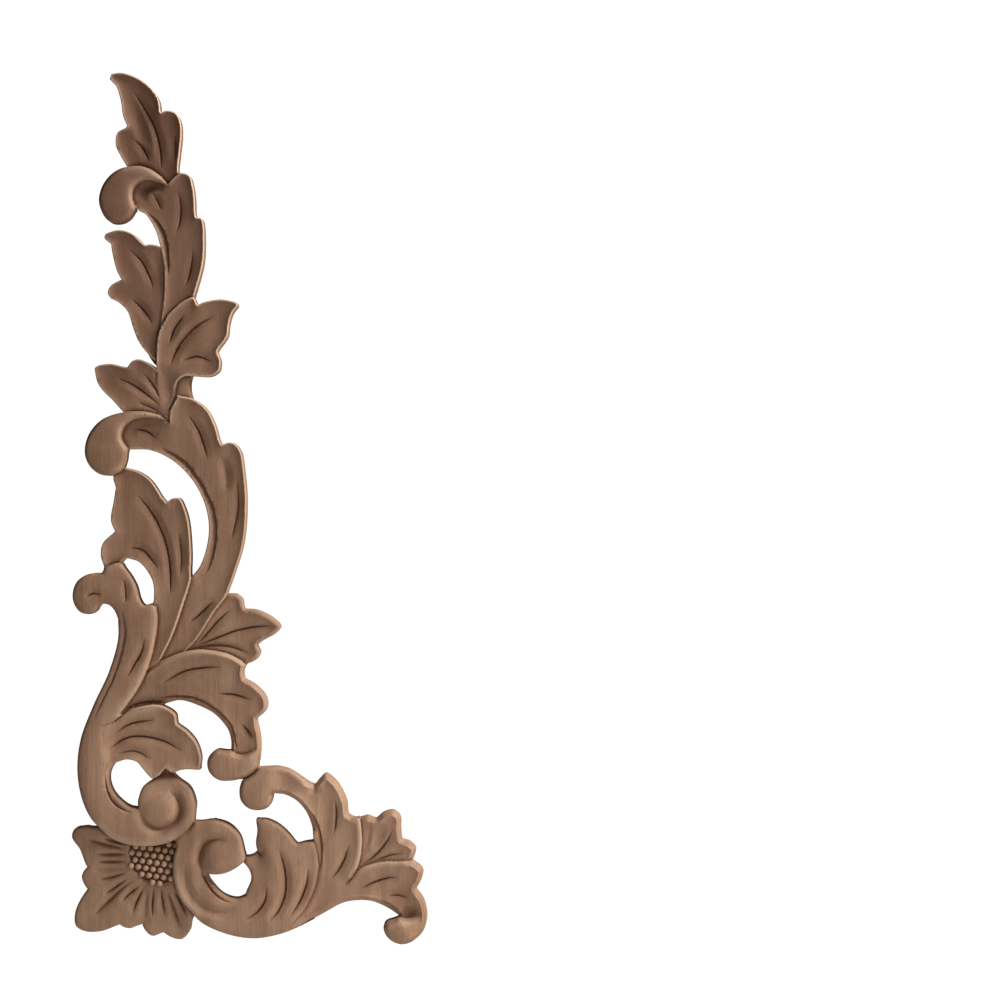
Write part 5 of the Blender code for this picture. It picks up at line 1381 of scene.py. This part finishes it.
def seed_tree():
    """Seeds on a slanting lattice, set on the bed that a ray from the front finds."""
    tree = bpy.data.node_groups.new("seeds on their bed", "GeometryNodeTree")
    tree.interface.new_socket("Geometry", in_out="INPUT", socket_type="NodeSocketGeometry")
    inputs = {
        name: tree.interface.new_socket(name, in_out="INPUT", socket_type=kind).identifier
        for name, kind in (
            ("Carving", "NodeSocketObject"),
            ("Wood", "NodeSocketMaterial"),
            ("Seeds a side", "NodeSocketInt"),
            ("Row", "NodeSocketVector"),
            ("Step", "NodeSocketVector"),
            ("First seed", "NodeSocketVector"),
            ("Middle", "NodeSocketVector"),
            ("Head radius", "NodeSocketFloat"),
            ("Seed radius", "NodeSocketFloat"),
            ("Bed front", "NodeSocketFloat"),
        )
    }
    tree.interface.new_socket("Geometry", in_out="OUTPUT", socket_type="NodeSocketGeometry")
    given = tree.nodes.new("NodeGroupInput").outputs
    vector = "ShaderNodeVectorMath"
    count = given["Seeds a side"]
    side = grow(tree, "ShaderNodeMath", {"operation": "SUBTRACT"}, {0: count, 1: 1.0}).outputs[0]
    grid = grow(
        tree,
        "GeometryNodeMeshGrid",
        {},
        {"Size X": side, "Size Y": side, "Vertices X": count, "Vertices Y": count},
    )
    here = tree.nodes.new("GeometryNodeInputPosition").outputs[0]
    cell = grow(tree, "ShaderNodeSeparateXYZ", {}, {0: here}).outputs
    along = grow(tree, vector, {"operation": "SCALE"}, {0: given["Row"], "Scale": cell["X"]})
    down = grow(tree, vector, {"operation": "SCALE"}, {0: given["Step"], "Scale": cell["Y"]})
    both = grow(tree, vector, {"operation": "ADD"}, {0: along.outputs[0], 1: down.outputs[0]})
    spot = grow(tree, vector, {"operation": "ADD"}, {0: both.outputs[0], 1: given["First seed"]})
    laid = grow(
        tree, "GeometryNodeSetPosition", {}, {"Geometry": grid.outputs["Mesh"], "Position": spot.outputs[0]}
    )
    board = grow(tree, "GeometryNodeObjectInfo", {}, {"Object": given["Carving"]})
    before = grow(tree, vector, {"operation": "ADD"}, {0: here, 1: (0.0, -RAY_START, 0.0)})
    ray = {
        "Target Geometry": board.outputs["Geometry"],
        "Source Position": before.outputs[0],
        "Ray Direction": (0.0, 1.0, 0.0),
        "Ray Length": 2 * RAY_START,
    }
    hit = grow(tree, "GeometryNodeRaycast", {}, ray).outputs["Hit Position"]
    depth = grow(tree, "ShaderNodeSeparateXYZ", {}, {0: hit}).outputs["Y"]
    compare = "FunctionNodeCompare"
    behind = grow(tree, compare, {"operation": "GREATER_THAN"}, {0: depth, 1: given["Bed front"]})
    apart = grow(tree, vector, {"operation": "DISTANCE"}, {0: here, 1: given["Middle"]}).outputs["Value"]
    inside = grow(tree, compare, {"operation": "LESS_THAN"}, {0: apart, 1: given["Head radius"]})
    good = grow(
        tree, "FunctionNodeBooleanMath", {"operation": "AND"}, {0: behind.outputs[0], 1: inside.outputs[0]}
    )
    bad = grow(tree, "FunctionNodeBooleanMath", {"operation": "NOT"}, {0: good.outputs[0]})
    kept = grow(
        tree,
        "GeometryNodeDeleteGeometry",
        {"domain": "POINT"},
        {"Geometry": laid.outputs[0], "Selection": bad.outputs[0]},
    )
    landed = grow(tree, "GeometryNodeRaycast", {}, ray).outputs["Hit Position"]
    set_down = grow(
        tree,
        "GeometryNodeSetPosition",
        {},
        {"Geometry": kept.outputs[0], "Position": landed, "Offset": (0.0, -SEED_LIFT, 0.0)},
    )
    seed = grow(tree, "GeometryNodeMeshIcoSphere", {}, {"Radius": given["Seed radius"], "Subdivisions": 3})
    sown = grow(
        tree,
        "GeometryNodeInstanceOnPoints",
        {},
        {"Points": set_down.outputs[0], "Instance": seed.outputs["Mesh"]},
    )
    real = grow(tree, "GeometryNodeRealizeInstances", {}, {"Geometry": sown.outputs[0]})
    smooth = grow(tree, "GeometryNodeSetShadeSmooth", {}, {"Geometry": real.outputs[0]})
    finish = grow(
        tree, "GeometryNodeSetMaterial", {}, {"Geometry": smooth.outputs[0], "Material": given["Wood"]}
    )
    out = tree.nodes.new("NodeGroupOutput")
    tree.links.new(finish.outputs[0], out.inputs[0])
    return tree, inputs


# %% The seeds
SEED_ROW = (0.00251, 0.0, -0.00038)    # step from seed to seed along a row, metres
SEED_STEP = (0.00116, 0.0, -0.00247)   # step from row to row
FIRST_SEED = (-0.00025, 0.0, 0.0016)
SEED_RADIUS = 0.00106
HEAD_MIDDLE = (0.0005, 0.0, 0.0048)
HEAD_RADIUS = 0.0105
SEEDS_A_SIDE = 17                      # more than the head can hold
BED_FRONT = -0.0066                    # the bed lies behind this, petals and scrolls in front

# painted highlight: the seeds are a paler copy of the same wood, standing in for the light on their tops
seed_wood = hardwood("seeds", paler=0.6)
tree, names = seed_tree()
seeds = bpy.data.objects.new("seeds", bpy.data.meshes.new("seeds"))
bpy.context.scene.collection.objects.link(seeds)
sower = seeds.modifiers.new("seeds", "NODES")
sower.node_group = tree
for name, value in {
    "Carving": carving,
    "Wood": seed_wood,
    "Seeds a side": SEEDS_A_SIDE,
    "Row": SEED_ROW,
    "Step": SEED_STEP,
    "First seed": FIRST_SEED,
    "Middle": HEAD_MIDDLE,
    "Head radius": HEAD_RADIUS,
    "Seed radius": SEED_RADIUS,
    "Bed front": BED_FRONT,
}.items():
    sower[names[name]] = value
graph = bpy.context.evaluated_depsgraph_get()
plain = bpy.data.meshes.new_from_object(seeds.evaluated_get(graph), depsgraph=graph)
seeds.modifiers.remove(sower)
seeds.data = plain
print(len(plain.polygons), "faces in the seeds")

# %% [markdown]
# ## Riding on the solid model
# The fine carving stands for the solid in every picture, and both pieces move with the solid's one body.

# %% Hand the pieces over
for piece in (carving, seeds):
    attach(piece, "root")
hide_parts("applique")

# %% [markdown]
# ## Floor, light and camera
# The piece is shown against white, straight from the front. A large soft lamp stands high at the right and
# close to the plane of the carving, so that it rakes over the relief, and a weak one stands low in front of
# it and lights the foot. The floor is a pale board below the picture.

# %% Floor
def floor_board(size, level):
    """A pale square board, size metres wide."""
    mesh = bpy.data.meshes.new("floor")
    half = size / 2
    corners = [(x, y, level) for x, y in ((-half, -half), (half, -half), (half, half), (-half, half))]
    mesh.from_pydata(corners, [], [(0, 1, 2, 3)])
    floor = bpy.data.objects.new("floor", mesh)
    bpy.context.scene.collection.objects.link(floor)
    paint = Finish("pale floor")
    clouds = paint.blend(paint.fibres((3, 3, 3)), (0.78, 0.78, 0.77, 1), (0.84, 0.84, 0.83, 1))
    paint.feed(paint.shader.inputs["Base Color"], clouds)
    paint.shader.inputs["Roughness"].default_value = 0.8
    mesh.materials.append(paint.material)
    return floor


floor_board(size=1.5, level=-0.2)


# %% Lamps and the white around
def soft_lamp(name, place, target, size, power, colour=(1, 1, 1)):
    """A square lamp that is turned to the target."""
    lamp = bpy.data.lights.new(name, "AREA")
    lamp.size = size
    lamp.energy = power
    lamp.color = colour
    stand = bpy.data.objects.new(name, lamp)
    stand.location = place
    stand.rotation_euler = (Vector(target) - Vector(place)).to_track_quat("-Z", "Y").to_euler()
    bpy.context.scene.collection.objects.link(stand)
    return stand


DAYLIGHT = (1.0, 0.98, 0.95)

soft_lamp(
    "window", place=(1.05, -0.27, 1.0), target=(0.03, 0.0, 0.12), size=0.6, power=30.0, colour=DAYLIGHT
)
soft_lamp("fill", place=(0.17, -0.3, 0.0), target=(0.06, 0.0, 0.02), size=0.3, power=0.40)

ROOM_COLOUR = (1.0, 0.84, 0.70, 1)   # what the room sends into the shadows
ROOM_STRENGTH = 0.04
WHITE_STRENGTH = 1.05                # of the white that only the lens sees

world = bpy.data.worlds.new("white room")
world.use_nodes = True
bpy.context.scene.world = world
room = world.node_tree
room_light = room.nodes["Background"]
room_light.inputs["Color"].default_value = ROOM_COLOUR
room_light.inputs["Strength"].default_value = ROOM_STRENGTH
seen_white = room.nodes.new("ShaderNodeBackground")
seen_white.inputs["Color"].default_value = (1, 1, 1, 1)
seen_white.inputs["Strength"].default_value = WHITE_STRENGTH
path = room.nodes.new("ShaderNodeLightPath")
chosen = room.nodes.new("ShaderNodeMixShader")
room.links.new(path.outputs["Is Camera Ray"], chosen.inputs[0])
room.links.new(room_light.outputs[0], chosen.inputs[1])
room.links.new(seen_white.outputs[0], chosen.inputs[2])
room.links.new(chosen.outputs[0], room.nodes["World Output"].inputs["Surface"])
bpy.context.scene.view_settings.view_transform = "Standard"

# %% Camera
PICTURE = 0.34443       # width and height of the picture at the carved face, metres
AWAY = 1.0              # from the lens to the carved face
FACE = -0.007           # where most of the carved face lies
MIDDLE_X = 0.1181       # the middle of the picture
MIDDLE_Z = 0.12675
SENSOR = 36.0           # millimetres

camera_data = bpy.data.cameras.new("camera")
camera_data.sensor_width = SENSOR
camera_data.lens = SENSOR * AWAY / PICTURE
camera = bpy.data.objects.new("camera", camera_data)
camera.location = (MIDDLE_X, FACE - AWAY, MIDDLE_Z)
camera.rotation_euler = (math.radians(90), 0, 0)
bpy.context.scene.collection.objects.link(camera)
bpy.context.scene.camera = camera
